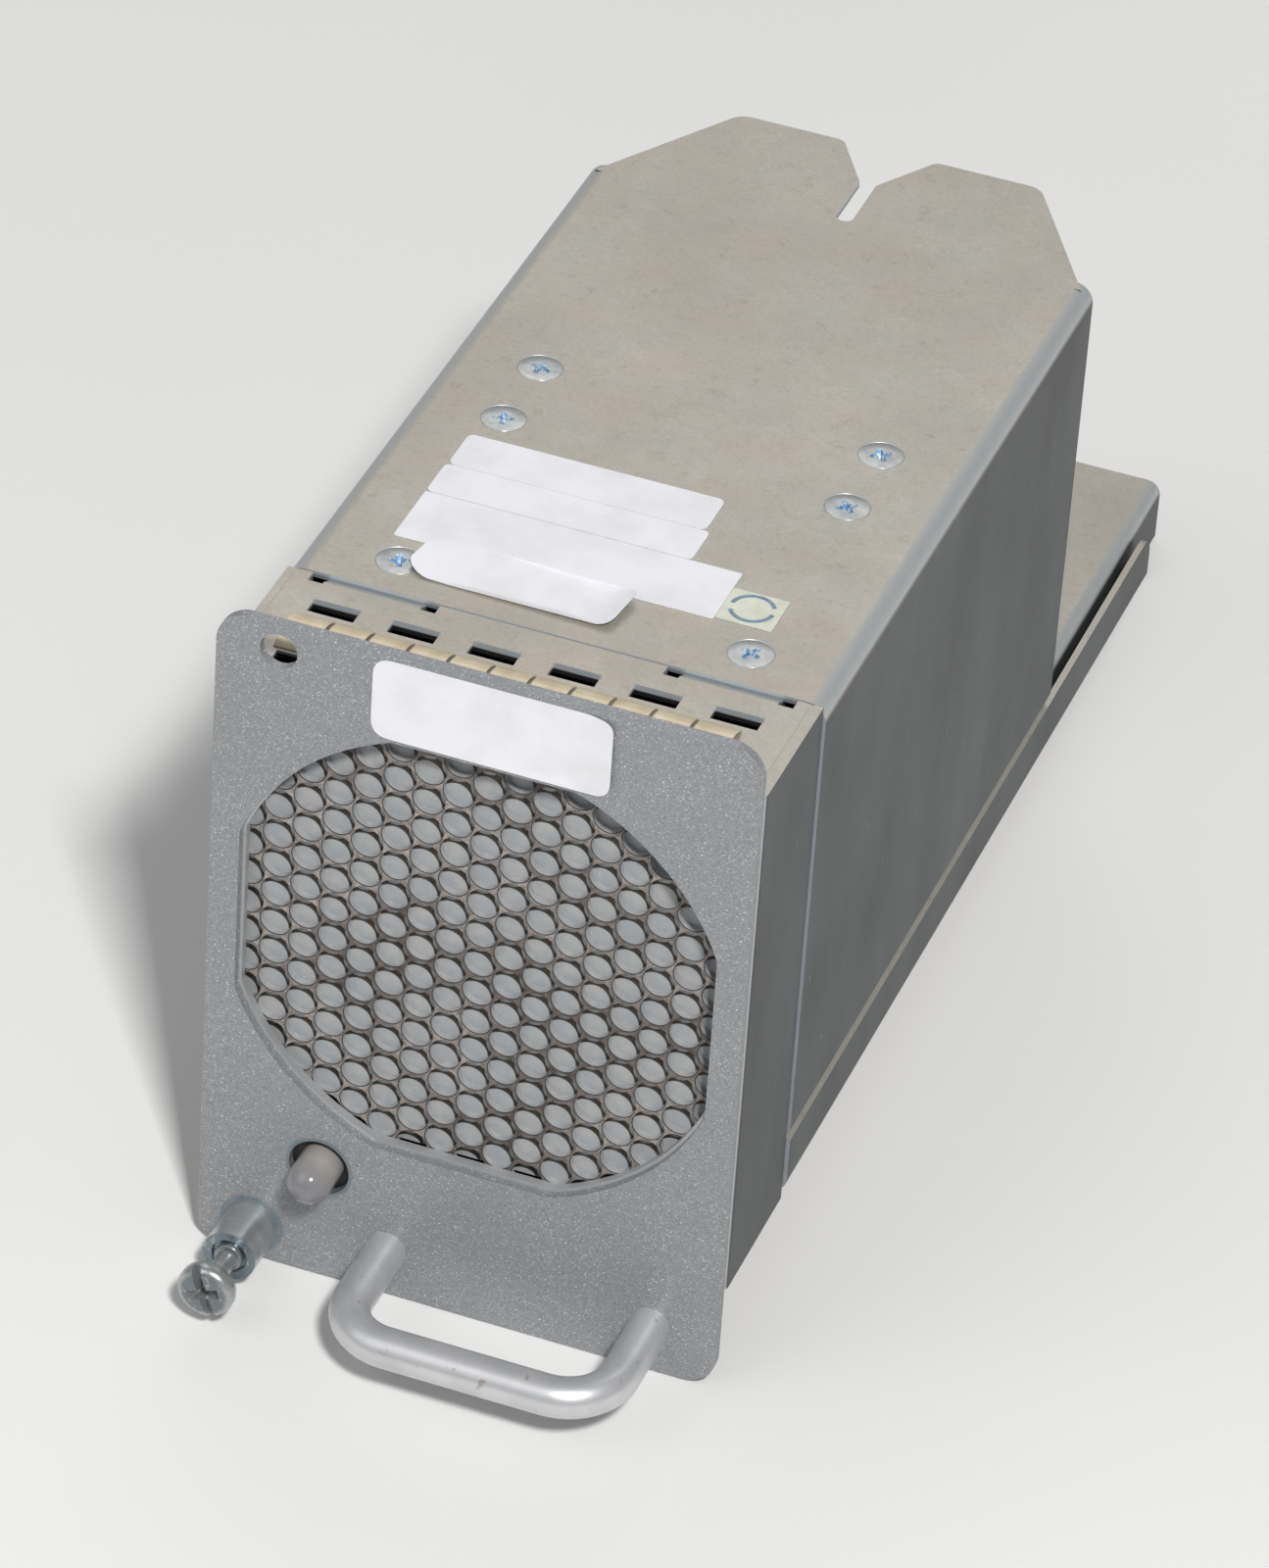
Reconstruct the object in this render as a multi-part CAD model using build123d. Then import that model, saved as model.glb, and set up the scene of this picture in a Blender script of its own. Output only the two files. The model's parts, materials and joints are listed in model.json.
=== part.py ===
"""Hot-swap fan tray: painted front panel, folded steel duct, two 60 mm fans and a rear connector.

Millimetres. While it is modelled, Y = 0 is the front face of the panel and +Y runs into the chassis.
X = 0 is the middle of the panel and Z = 0 its lower edge. The export moves the origin to the middle
of the whole length.
"""
from build123d import *
import math
import os

overrun = 1.0          # how far every cutting tool runs past the material
fit = 0.05             # radial clearance of screws, bearings and shafts

# Fans: everything round them follows from their size
fan_size = 60.0
fan_depth = 38.0
fan_wall = 1.4
fan_barrel_step = 0.4
fan_flange_t = 6.5
fan_corner_r = 3.0
fan_hole_d = 4.3
fan_hole_edge = 5.0
fan_front_gap = 0.45
fan_gap = 5.0
hub_d = 31.2
hub_wall = 1.2
hub_front = 4.0
hub_rear_gap = 5.5
hub_round_r = 2.5
boss_d = 6.4
boss_len = 5.0
blade_count = 7
blade_tip_gap = 0.6
blade_t = 1.5
blade_edge_t = 0.5
blade_sink = 0.4
blade_root_chord = 23.0
blade_tip_chord = 24.0
blade_root_angle = 38.0
blade_tip_angle = 56.0
blade_camber = 2.2
motor_base_t = 2.4
strut_count = 5
strut_w = 2.4
strut_l = 3.2
strut_offset = 5.0
shaft_d = 3.0
bearing_d = 7.0
bearing_t = 3.0
bearing_tube_wall = 1.1
bearing_shoulder_d = 4.6
bearing_front_step = 11.6
bearing_rear_step = 6.0
magnet_wall = 1.7
magnet_len = 16.0
stator_gap = 1.1
stator_ring_wall = 1.6
stator_share = 0.386     # of the hub's length
stator_arm_w = 3.0
stator_shoe_t = 1.4
stator_shoe_angle = 70.0
stator_poles = 4
coil_w = 6.6
coil_over = 1.6
coil_gap = 0.1
driver_t = 1.0
driver_gap = 1.0
pad_t = 1.7
pad_w = 9.0
pad_hole_d = 4.0
foot_h = 4.1
foot_w = 8.0
foot_edge = 6.0

# Front panel: a painted steel plate, two rack units high
panel_t = 1.2
panel_corner_r = 4.0
panel_side_step = 0.1
panel_lip = 7.1
opening_cut = 2.0
pin_hole_d = 4.4
pin_hole_edge = 7.3
pin_hole_drop = 3.6

# Front bracket: a folded box behind the panel
duct_bottom = 12.5
fan_side_room = 0.4
bracket_t = 1.0
bracket_bend_r = 1.8
bracket_rear_y = 20.2
bracket_opening_step = 0.35
corner_slit = 0.4
slot_w = 5.5
slot_l = 2.0
slot_front_y = 2.9
slot_rear_y = 13.1
slot_pitch_fingers = 2
slot_count = 6
slot_lip = 0.35
tab_w = 11.5
tab_edge = 10.5
tab_start_step = 1.2
tab_l = 2.5
tab_notch_w = 1.8
tab_notch_l = 1.6
lap_l = 11.8
lap_edge = 6.4

# Duct cover: the folded top and sides, with a flat tongue behind them
cover_step = 0.3
cover_t = 0.8
cover_bend_r = 2.4
joggle_gap = 0.3
joggle_h = 1.2
seam_gap = 0.3
exhaust_l = 9.85
tongue_lap = 1.5
tongue_l = 17.9
tongue_start_step = 1.2
tongue_rear_step = 12.6
tongue_corner_r = 2.6
notch_half = 5.9
notch_corner_r = 1.5
notch_slot_w = 2.1
notch_mouth_l = 8.1
notch_end_step = 0.6

# Base tray: floor and two low walls outside the cover's feet
tray_t = 0.8
tray_bend_r = 1.4
tray_gap = 0.1
tray_wall_h = 7.3
tray_end_step = 9.1
tray_wall_end_r = 3.0
rivet_d = 3.2
rivet_head_d = 5.2
rivet_head_t = 0.5
rivet_inset = 10.0
rivet_edge = 5.6

# Connector cover: a shallow folded lid over the board
lid_side_gap = 1.0
lid_t = 0.8
lid_h = 8.0
lid_bend_r = 1.8
lid_front_gap = 4.85
lid_l = 54.6

# Contact strip of sprung fingers on the bracket's top
finger_pitch = 4.71
finger_count = 11
finger_slit = 0.5
strip_x = -1.0
strip_front_y = 5.3
strip_rear_y = 12.2
strip_rise = 1.3
strip_t = 0.2
strip_spine = 1.6
strip_facets = 8

# Perforated grille, the filter pad behind it and the clips that hold them
grille_side_gap = 0.4
grille_led_gap = 0.3
grille_gap = 0.1
grille_t = 1.0
grille_border = 0.7
cell_pitch = 4.0
cell_wall = 0.25
filter_t = 5.0
clip_t = 0.8
clip_h = 16.0
clip_leg = 6.0
clip_lip = 2.2

# Carry handle: a bent round bar
handle_d = 4.76
handle_span = 32.0
handle_edge = 7.9
handle_z = 6.45
handle_reach = 18.4
handle_bend_r = 6.5
handle_screw_d = 3.0
handle_screw_len = 6.0
handle_screw_head_d = 5.6
handle_screw_head_t = 2.0
panel_hole_gap = 0.15

# Captive screw, its sleeve, ring and spring
captive_edge = 6.6
captive_z = 4.6
sleeve_d = 6.4
sleeve_bore_d = 5.0
sleeve_mouth_d = 4.4
sleeve_lip_t = 0.3
sleeve_reach = 6.5
sleeve_web_t = 0.6
captive_thread_d = 3.0
captive_neck_d = 2.4
captive_collar_d = 3.4
captive_collar_t = 0.5
captive_head_d = 6.8
captive_head_t = 2.3
captive_head_y = -14.1
captive_tip_y = 1.0
captive_hole_gap = 0.3
captive_recess_w = 1.0
captive_recess_depth = 1.2
ring_t = 0.6
ring_gap = 0.3
spring_wire_d = 0.4
spring_mean_d = 4.1
spring_turns = 4.0
spring_seat_gap = 0.1

# Status light and its holder
led_edge = 14.5
led_rise = 2.8
led_d = 5.2
led_hole_d = 7.3
led_cylinder_y = -2.7
led_flange_d = 6.0
led_flange_t = 1.0
led_flange_y = 3.0
led_window_w = 9.0
led_window_rear_y = 10.0
led_holder_w = 8.0
led_holder_h = 7.0
led_holder_front_y = 1.3
led_holder_rear_y = 7.4
led_board_t = 1.2

# Cover screws, flush with the duct's top
cover_screw_d = 3.0
cover_screw_head_d = 5.3
cover_screw_len = 6.0
cover_screw_edge = 9.25
cross_w = 0.7
cross_l = 3.0
cross_depth = 0.9

# Rear finger guard
guard_wire_d = 1.5
guard_sink = 0.4
guard_ring_shares = (0.315, 0.595, 0.875)
guard_eye_d = 7.0
guard_screw_d = 4.2
guard_screw_len = 8.0
guard_screw_head_d = 7.2
guard_screw_head_t = 2.2

# Board and connectors at the rear
board_side_gap = 2.2
board_t = 1.6
board_front_step = 3.0
board_rear_step = 11.6
standoff_h = 2.6
standoff_d = 5.0
standoff_edge = 4.0
board_screw_d = 2.5
board_screw_head_d = 4.4
board_screw_head_t = 1.5
header_w = 8.0
header_l = 5.0
header_h = 2.8
header_edge = 1.5
plug_w = 38.0
plug_step_l = 6.0
plug_rear_step = 0.8
plug_rise = 0.6
plug_top_gap = 0.2
plug_cavity = 1.7
plug_cavity_depth = 7.0
plug_cavity_pitch = 2.9
plug_columns = 8
plug_rows = 2
guide_hole_d = 3.4

# Wires held inside the duct
lead_d = 1.9
led_lead_d = 1.5
lead_height = 1.8
lead_rise_step = 0.45
lead_level_step = 1.2
lead_exit_r = 1.4
lead_bend_r = 5.0
fan_lead_x = (4.0, 14.0)
led_lead_x = -9.0
led_lead_turn_y = 40.0
led_lead_straight_y = 60.0

# Heights, worked out upwards from the duct's underside
floor_z = duct_bottom + bracket_t
floor_top = floor_z + tray_t
wall_top = floor_z + tray_wall_h
fan_bottom = floor_top + foot_h
opening_z = fan_bottom + fan_size / 2
fan_top = fan_bottom + fan_size
ceiling_z = fan_top + pad_t
duct_top = ceiling_z + cover_t
panel_h = duct_top + panel_lip
pin_hole_z = panel_h - pin_hole_drop
led_z = duct_bottom + led_rise
cover_foot = floor_top + tray_bend_r - tray_t + tray_gap
joggle_low_z = wall_top + joggle_gap
joggle_high_z = joggle_low_z + joggle_h
lid_top = floor_top + lid_h
board_z = floor_top + standoff_h
board_top = board_z + board_t
header_z = board_top + header_h / 2
plug_bottom = floor_top + plug_rise
plug_top = lid_top - lid_t - plug_top_gap
lead_z = floor_top + lead_height

# Widths, worked out outwards from the fans
half_bracket = fan_size / 2 + fan_side_room + bracket_t
half_panel = half_bracket + panel_side_step
half_cover = half_bracket + cover_step
half_foot = half_cover - cover_t
half_tray = half_foot + tray_gap + tray_t
half_lid = half_tray - tray_t - lid_side_gap
half_board = half_lid - lid_t - board_side_gap
half_lap = half_bracket - lap_edge
tab_x = half_bracket - tab_edge
tongue_start_half = half_cover - tongue_start_step
tongue_rear_half = half_cover - tongue_rear_step
grille_w = 2 * (half_bracket - bracket_t - grille_side_gap)
grille_h = 2 * (opening_z - led_z - led_holder_h / 2 - grille_led_gap)
cells_w = grille_w - 2 * grille_border
cells_h = grille_h - 2 * grille_border
pin_hole_x = pin_hole_edge - half_panel
captive_x = captive_edge - half_panel
led_x = led_edge - half_panel
handle_x = half_panel - handle_edge - handle_span / 2
cover_screw_x = fan_size / 2 - cover_screw_edge
foot_x = fan_size / 2 - foot_edge
rivet_x = foot_x - rivet_inset
opening_flat = fan_size - 2 * opening_cut

# Depths, worked out rearwards from the panel's front face and from the bracket's rear edge
grille_front_y = panel_t + bracket_t + grille_gap
filter_front_y = grille_front_y + grille_t
filter_rear_y = filter_front_y + filter_t
cover_front_y = bracket_rear_y + seam_gap
tab_start_y = bracket_rear_y - tab_start_step
tab_end_y = bracket_rear_y + tab_l
lap_end_y = bracket_rear_y + lap_l
rivet_y = lap_end_y - rivet_edge
fan_front_y = tab_end_y + fan_front_gap
fan_fronts = (fan_front_y, fan_front_y + fan_depth + fan_gap)
fan_rear_y = fan_fronts[1] + fan_depth
screw_rows = (
    fan_fronts[0] + fan_flange_t / 2,
    fan_fronts[0] + fan_depth - fan_flange_t / 2,
    fan_fronts[1] + fan_flange_t / 2,
)
side_rear_y = fan_rear_y + exhaust_l
tongue_start_y = side_rear_y - tongue_lap
tongue_rear_y = side_rear_y + tongue_l
notch_neck_y = tongue_rear_y - notch_mouth_l
notch_end_y = side_rear_y + notch_end_step
lid_front_y = fan_rear_y + lid_front_gap
lid_rear_y = lid_front_y + lid_l
tray_rear_y = lid_rear_y - tray_end_step
board_front_y = lid_front_y + board_front_step
board_rear_y = lid_rear_y - board_rear_step
header_front_y = board_front_y + header_edge
plug_rear_y = lid_rear_y - plug_rear_step
lead_rise_y = fan_rear_y + lead_rise_step
lead_level_y = board_front_y - lead_level_step
guard_bar_y = fan_rear_y + guard_wire_d / 2
guard_ring_y = guard_bar_y + guard_wire_d - guard_sink
guard_eye_rear_y = fan_rear_y + guard_wire_d
middle_y = (lid_rear_y - handle_reach) / 2

# Inside the fans and the captive screw's sleeve
fan_bore_d = fan_size - 2 * fan_wall
fan_barrel_d = fan_size - 2 * fan_barrel_step
fan_hole_offset = fan_size / 2 - fan_hole_edge
hub_len = fan_depth - hub_front - hub_rear_gap
stator_len = stator_share * hub_len
magnet_d = hub_d - 2 * hub_wall
stator_d = magnet_d - 2 * magnet_wall - 2 * stator_gap
tube_d = bearing_d + 2 * bearing_tube_wall
motor_base_z = fan_depth - motor_base_t
bearing_z = (hub_front + bearing_front_step, fan_depth - bearing_rear_step)
stator_middle = (bearing_z[0] + bearing_t + bearing_z[1]) / 2
ring_d = sleeve_bore_d - 2 * fit
ring_front_y = sleeve_lip_t + ring_gap - sleeve_reach
ring_rear_y = ring_front_y + ring_t


def block(x0, x1, y0, y1, z0, z1):
    """A box between two corners."""
    return Pos((x0 + x1) / 2, (y0 + y1) / 2, (z0 + z1) / 2) * Box(x1 - x0, y1 - y0, z1 - z0)


def slab_x(sketch, x0, x1):
    """A sketch drawn in Y and Z, made solid from x0 to x1."""
    return extrude(Plane(origin=(x0, 0, 0), x_dir=(0, 1, 0), z_dir=(1, 0, 0)) * sketch, amount=x1 - x0)


def slab_y(sketch, y0, y1, x=0.0, z=0.0):
    """A sketch drawn in X and Z, made solid from y0 to y1."""
    face = Plane(origin=(x, y0, z), x_dir=(1, 0, 0), z_dir=(0, -1, 0)) * sketch
    return extrude(face, amount=y0 - y1)


def slab_z(sketch, z0, z1, x=0.0, y=0.0):
    """A sketch drawn in X and Y, made solid from z0 to z1."""
    return extrude(Pos(x, y, z0) * sketch, amount=z1 - z0)


def rod_y(d, x, z, y0, y1):
    return slab_y(Circle(d / 2), y0, y1, x, z)


def rod_z(d, x, y, z0, z1):
    return slab_z(Circle(d / 2), z0, z1, x, y)


def joined(solids):
    """One shape fused from a list."""
    return solids[0].fuse(*solids[1:]) if len(solids) > 1 else solids[0]


def group(solids):
    """Separate solids kept in one node."""
    return Compound(solids)


def opening_shape(step):
    """The round air opening cut off by four flats, smaller all round by step."""
    return Circle(fan_size / 2 - step) & Rectangle(opening_flat - 2 * step, opening_flat - 2 * step)


def tube_along(path, d):
    """A round bar along a path."""
    return sweep(Plane(origin=path @ 0, z_dir=path % 0) * Circle(d / 2), path=path)


def handle_feet():
    return [handle_x - handle_span / 2, handle_x + handle_span / 2]


def front_panel():
    plate = slab_y(RectangleRounded(2 * half_panel, panel_h, panel_corner_r), 0, panel_t, z=panel_h / 2)
    plate -= slab_y(opening_shape(0), -overrun, panel_t + overrun, z=opening_z)
    plate -= rod_y(pin_hole_d, pin_hole_x, pin_hole_z, -overrun, panel_t + overrun)
    plate -= rod_y(led_hole_d, led_x, led_z, -overrun, panel_t + overrun)
    plate -= rod_y(sleeve_d, captive_x, captive_z, -overrun, panel_t + overrun)
    for x in handle_feet():
        plate -= rod_y(handle_screw_d + 2 * panel_hole_gap, x, handle_z, -overrun, panel_t + overrun)
    return plate


def folded_box(half, y0, y1, z0, z1, bend_r):
    """A box whose front edges are rounded by a sheet's fold."""
    body = block(-half, half, y0, y1, z0, z1)
    return fillet(body.faces().sort_by(Axis.Y)[0].edges(), bend_r)


def finger_slots(y):
    """The row of slots beside the contact strip that starts at y."""
    pitch = slot_pitch_fingers * finger_pitch
    xs = [(i - (slot_count - 1) / 2) * pitch for i in range(slot_count)]
    return [block(x - slot_w / 2, x + slot_w / 2, y, y + slot_l, ceiling_z - overrun, duct_top + overrun)
            for x in xs]


def bracket_tab(side):
    """A tab that steps down from the bracket's top and passes under the cover."""
    drop = cover_t
    top = duct_top
    low = top - drop
    profile = make_face(Polyline(
        (tab_start_y, top), (cover_front_y, low), (tab_end_y, low), (tab_end_y, low - bracket_t),
        (cover_front_y, low - bracket_t), (tab_start_y, top - bracket_t), close=True))
    return slab_x(profile, side * tab_x - tab_w / 2, side * tab_x + tab_w / 2)


def front_bracket():
    y0 = panel_t
    body = folded_box(half_bracket, y0, bracket_rear_y, duct_bottom, duct_top, bracket_bend_r)
    body -= folded_box(half_bracket - bracket_t, y0 + bracket_t, bracket_rear_y + overrun,
                       floor_z, duct_top - bracket_t, bracket_bend_r - bracket_t)
    body -= slab_y(opening_shape(bracket_opening_step), 0, y0 + bracket_t + overrun, z=opening_z)
    slit_x = half_bracket - bracket_t - corner_slit / 2
    for side in (-1, 1):
        x = side * slit_x
        for z0, z1 in ((duct_top - bracket_t - overrun, duct_top + overrun),
                       (duct_bottom - overrun, floor_z + overrun)):
            body -= block(x - corner_slit / 2, x + corner_slit / 2,
                          y0 + bracket_bend_r, bracket_rear_y + overrun, z0, z1)
        left = side * tab_x - tab_w / 2 - tab_notch_w
        right = side * tab_x + tab_w / 2 + tab_notch_w
        edge_top = duct_top - bracket_t - overrun
        body -= block(left, right, tab_start_y, bracket_rear_y + overrun, edge_top, duct_top + overrun)
        for x0 in (left, right - tab_notch_w):
            body -= block(x0, x0 + tab_notch_w, bracket_rear_y - tab_notch_l, bracket_rear_y,
                          edge_top, duct_top + overrun)
        body += bracket_tab(side)
    for cut in finger_slots(slot_front_y) + finger_slots(slot_rear_y):
        body -= cut
    pitch = slot_pitch_fingers * finger_pitch
    for i in range(slot_count):
        x = (i - (slot_count - 1) / 2) * pitch
        rear = slot_rear_y + slot_l
        body += block(x - slot_w / 2, x + slot_w / 2, rear, rear + slot_lip,
                      duct_top - bracket_t, duct_top + slot_lip)
    body += block(-half_lap, half_lap, bracket_rear_y - overrun, lap_end_y,
                  duct_bottom, floor_z)
    body -= block(led_x - led_window_w / 2, led_x + led_window_w / 2, 0, led_window_rear_y,
                  duct_bottom - overrun, led_z + led_window_w / 2)
    for x in (-rivet_x, 0, rivet_x):
        body -= rod_z(rivet_d, x, rivet_y, duct_bottom - overrun, floor_z + overrun)
    return body


def folded_lid(half, y0, y1, z0, z1, sheet_t, bend_r):
    """A sheet folded down along both sides."""
    body = block(-half, half, y0, y1, z0, z1)
    body = fillet(body.edges().filter_by(Axis.Y).group_by(Axis.Z)[-1], bend_r)
    inside = block(-half + sheet_t, half - sheet_t, y0 - overrun, y1 + overrun, z0 - overrun, z1 - sheet_t)
    return body - fillet(inside.edges().filter_by(Axis.Y).group_by(Axis.Z)[-1], bend_r - sheet_t)


def tongue():
    """The flat end of the cover, with chamfered corners and a guide notch."""
    outline = make_face(Polyline(
        (-tongue_start_half, tongue_start_y), (tongue_start_half, tongue_start_y),
        (tongue_rear_half, tongue_rear_y), (-tongue_rear_half, tongue_rear_y), close=True))
    outline = fillet(outline.vertices().group_by(Axis.Y)[-1], tongue_corner_r)
    slot_half = notch_slot_w / 2
    slot_len = notch_neck_y - notch_end_y - slot_half
    notch = make_face(Polyline(
        (-notch_half, tongue_rear_y), (-slot_half, notch_neck_y), (slot_half, notch_neck_y),
        (notch_half, tongue_rear_y), close=True))
    notch += Pos(0, notch_neck_y - slot_len / 2) * Rectangle(notch_slot_w, slot_len)
    notch += Pos(0, notch_end_y + slot_half) * Circle(slot_half)
    plate = slab_z(outline - notch, ceiling_z, duct_top)
    lobes = plate.edges().filter_by(Axis.Z).filter_by(
        lambda e: e.center().Y > tongue_rear_y - fit and abs(e.center().X) < notch_half + fit)
    return fillet(lobes, notch_corner_r)


def cover_screw_places():
    return [(side * cover_screw_x, y) for y in screw_rows for side in (-1, 1)]


def cover_outline(step, foot_z, bend_r):
    """The cover's end view, inset by step; its feet are joggled in by one sheet to sit in the tray."""
    slope = math.atan2(cover_t, joggle_high_z - joggle_low_z)
    lift = step * math.tan(slope / 2)
    foot = half_foot - step
    half = half_cover - step
    top = duct_top - step
    outline = make_face(Polyline(
        (-foot, foot_z), (-foot, joggle_low_z + lift), (-half, joggle_high_z + lift), (-half, top),
        (half, top), (half, joggle_high_z + lift), (foot, joggle_low_z + lift), (foot, foot_z), close=True))
    return fillet(outline.vertices().group_by(Axis.Y)[-1], bend_r)


def duct_cover():
    outside = cover_outline(0, cover_foot, cover_bend_r)
    inside = cover_outline(cover_t, cover_foot - overrun, cover_bend_r - cover_t)
    body = slab_y(outside, cover_front_y, side_rear_y)
    body -= slab_y(inside, cover_front_y - overrun, side_rear_y + overrun)
    body += tongue()
    top_r = cover_screw_head_d / 2 + fit
    low_r = top_r - cover_t
    for x, y in cover_screw_places():
        body -= Pos(x, y, ceiling_z + cover_t / 2) * Cone(low_r, top_r, cover_t)
    return body


def base_tray():
    inner_half = half_tray - tray_t
    body = block(-half_tray, half_tray, cover_front_y, tray_rear_y, floor_z, wall_top)
    body = fillet(body.edges().filter_by(Axis.Y).group_by(Axis.Z)[0], tray_bend_r)
    inside = block(-inner_half, inner_half, cover_front_y - overrun, tray_rear_y + overrun,
                   floor_top, wall_top + overrun)
    body -= fillet(inside.edges().filter_by(Axis.Y).group_by(Axis.Z)[0], tray_bend_r - tray_t)
    walls = body.edges().filter_by(Axis.X).group_by(Axis.Y)[-1].group_by(Axis.Z)[-1]
    body = fillet(walls, tray_wall_end_r)
    for x in (-rivet_x, 0, rivet_x):
        body -= rod_z(rivet_d, x, rivet_y, floor_z - overrun, floor_top + overrun)
    return body


def base_rivets():
    rivets = []
    for x in (-rivet_x, 0, rivet_x):
        low_head = rod_z(rivet_head_d, x, rivet_y, duct_bottom - rivet_head_t, duct_bottom)
        top_head = rod_z(rivet_head_d, x, rivet_y, floor_top, floor_top + rivet_head_t)
        shank = rod_z(rivet_d - 2 * fit, x, rivet_y, duct_bottom, floor_top)
        rivets.append(joined([shank, low_head, top_head]))
    return group(rivets)


def connector_cover():
    return folded_lid(half_lid, lid_front_y, lid_rear_y, floor_top, lid_top, lid_t, lid_bend_r)


def arch_points(z):
    """Points along the contact strip's arch, which starts and ends at height z."""
    half = (strip_rear_y - strip_front_y) / 2
    middle = (strip_rear_y + strip_front_y) / 2
    rise = strip_rise - strip_t
    radius = (half ** 2 + rise ** 2) / (2 * rise)
    turns = [math.asin(half / radius) * (2 * i / strip_facets - 1) for i in range(strip_facets + 1)]
    return [(middle + radius * math.sin(a), z + rise + radius * (math.cos(a) - 1)) for a in turns]


def contact_strip():
    """A low arch of thin sprung fingers joined along a spine at the front."""
    length = finger_pitch * finger_count
    outline = [*arch_points(duct_top), *reversed(arch_points(duct_top + strip_t))]
    body = slab_x(make_face(Polyline(*outline, close=True)), strip_x - length / 2, strip_x + length / 2)
    for i in range(1, finger_count):
        x = strip_x - length / 2 + i * finger_pitch
        body -= block(x - finger_slit / 2, x + finger_slit / 2, strip_front_y + strip_spine,
                      strip_rear_y + overrun, duct_top - overrun, duct_top + strip_rise + overrun)
    return body


def cell_centres():
    """Centres of the grille's cells behind the air opening, out to the border that cuts the last ones."""
    column = cell_pitch * math.cos(math.radians(30))
    count = int(cells_w / 2 / column)
    centres = []
    for i in range(-count, count + 1):
        shift = cell_pitch / 2 if i % 2 else 0
        rows = int((cells_h / 2 + shift) / cell_pitch)
        for j in range(-rows, rows + 1):
            x = i * column
            z = j * cell_pitch + shift
            if abs(z) <= cells_h / 2 and math.hypot(x, z) <= (fan_size + cell_pitch) / 2:
                centres.append((x, z))
    return centres


def vent_grille():
    """The perforated plate behind the air opening, with thin webs between its cells."""
    cell = RegularPolygon((cell_pitch - cell_wall) / 2, 6, major_radius=False, rotation=0)
    cells = Sketch() + [Pos(x, z) * cell for x, z in cell_centres()]
    cells = cells & Rectangle(cells_w, cells_h)
    return slab_y(Rectangle(grille_w, grille_h) - cells, grille_front_y, filter_front_y, z=opening_z)


def filter_pad():
    """The open foam pad that the incoming air passes through."""
    return slab_y(Rectangle(grille_w, grille_h), filter_front_y, filter_rear_y, z=opening_z)


def vent_clips():
    """Two angle clips on the bracket's sides that hold the grille and the pad against its front."""
    y0 = filter_rear_y
    wall = half_bracket - bracket_t
    clips = []
    for side in (-1, 1):
        leg = make_face(Polyline(
            (side * wall, y0), (side * (wall - clip_lip), y0), (side * (wall - clip_lip), y0 + clip_t),
            (side * (wall - clip_t), y0 + clip_t), (side * (wall - clip_t), y0 + clip_leg),
            (side * wall, y0 + clip_leg), close=True))
        clips.append(slab_z(leg, opening_z - clip_h / 2, opening_z + clip_h / 2))
    return group(clips)


def carry_handle():
    left, right = handle_feet()
    far = handle_d / 2 - handle_reach
    path = FilletPolyline((left, 0, handle_z), (left, far, handle_z), (right, far, handle_z),
                          (right, 0, handle_z), radius=handle_bend_r)
    bar = tube_along(path, handle_d)
    for x in (left, right):
        bar -= rod_y(handle_screw_d + 2 * fit, x, handle_z, -handle_screw_len, overrun)
    return bar


def handle_screws():
    screws = []
    for x in handle_feet():
        shank = rod_y(handle_screw_d, x, handle_z, panel_t - handle_screw_len, panel_t)
        head = rod_y(handle_screw_head_d, x, handle_z, panel_t, panel_t + handle_screw_head_t)
        screws.append(shank + chamfer(head.edges().group_by(Axis.Y)[-1], handle_screw_head_t / 3))
    return group(screws)


def captive_sleeve():
    body = rod_y(sleeve_d, captive_x, captive_z, -sleeve_reach, panel_t)
    body -= rod_y(sleeve_bore_d, captive_x, captive_z, -sleeve_reach + sleeve_lip_t, panel_t - sleeve_web_t)
    body -= rod_y(sleeve_mouth_d, captive_x, captive_z, -sleeve_reach - overrun, 0)
    body -= rod_y(captive_thread_d + 2 * captive_hole_gap, captive_x, captive_z, 0, panel_t + overrun)
    return body


def captive_screw():
    head_rear = captive_head_y + captive_head_t
    collar_front = ring_front_y - fit - captive_collar_t
    head = rod_y(captive_head_d, captive_x, captive_z, captive_head_y, head_rear)
    head = fillet(head.edges().group_by(Axis.Y)[0], captive_head_t / 3)
    wide = captive_head_d + overrun
    across = block(captive_x - wide / 2, captive_x + wide / 2,
                   captive_head_y - overrun, captive_head_y + captive_recess_depth,
                   captive_z - captive_recess_w / 2, captive_z + captive_recess_w / 2)
    short = captive_head_d / 4
    upright = block(captive_x - captive_recess_w / 2, captive_x + captive_recess_w / 2,
                    captive_head_y - overrun, captive_head_y + captive_recess_depth,
                    captive_z - short, captive_z + short)
    neck = rod_y(captive_neck_d, captive_x, captive_z, head_rear, ring_rear_y + fit)
    collar = rod_y(captive_collar_d, captive_x, captive_z, collar_front, collar_front + captive_collar_t)
    thread = rod_y(captive_thread_d, captive_x, captive_z, ring_rear_y + fit, captive_tip_y)
    thread = chamfer(thread.edges().group_by(Axis.Y)[-1], captive_thread_d / 8)
    return joined([head - across - upright, neck, collar, thread])


def captive_ring():
    ring = rod_y(ring_d, captive_x, captive_z, ring_front_y, ring_rear_y)
    return ring - rod_y(captive_neck_d + 2 * fit, captive_x, captive_z,
                        ring_front_y - overrun, ring_rear_y + overrun)


def captive_spring():
    seat = panel_t - sleeve_web_t - spring_seat_gap
    top = ring_rear_y + spring_seat_gap
    height = seat - top - spring_wire_d
    coil = Helix(pitch=height / spring_turns, height=height, radius=spring_mean_d / 2)
    wire = sweep(Plane(origin=coil @ 0, z_dir=coil % 0) * Circle(spring_wire_d / 2), path=coil)
    return Pos(captive_x, top + spring_wire_d / 2, captive_z) * Rot(X=-90) * wire


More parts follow.
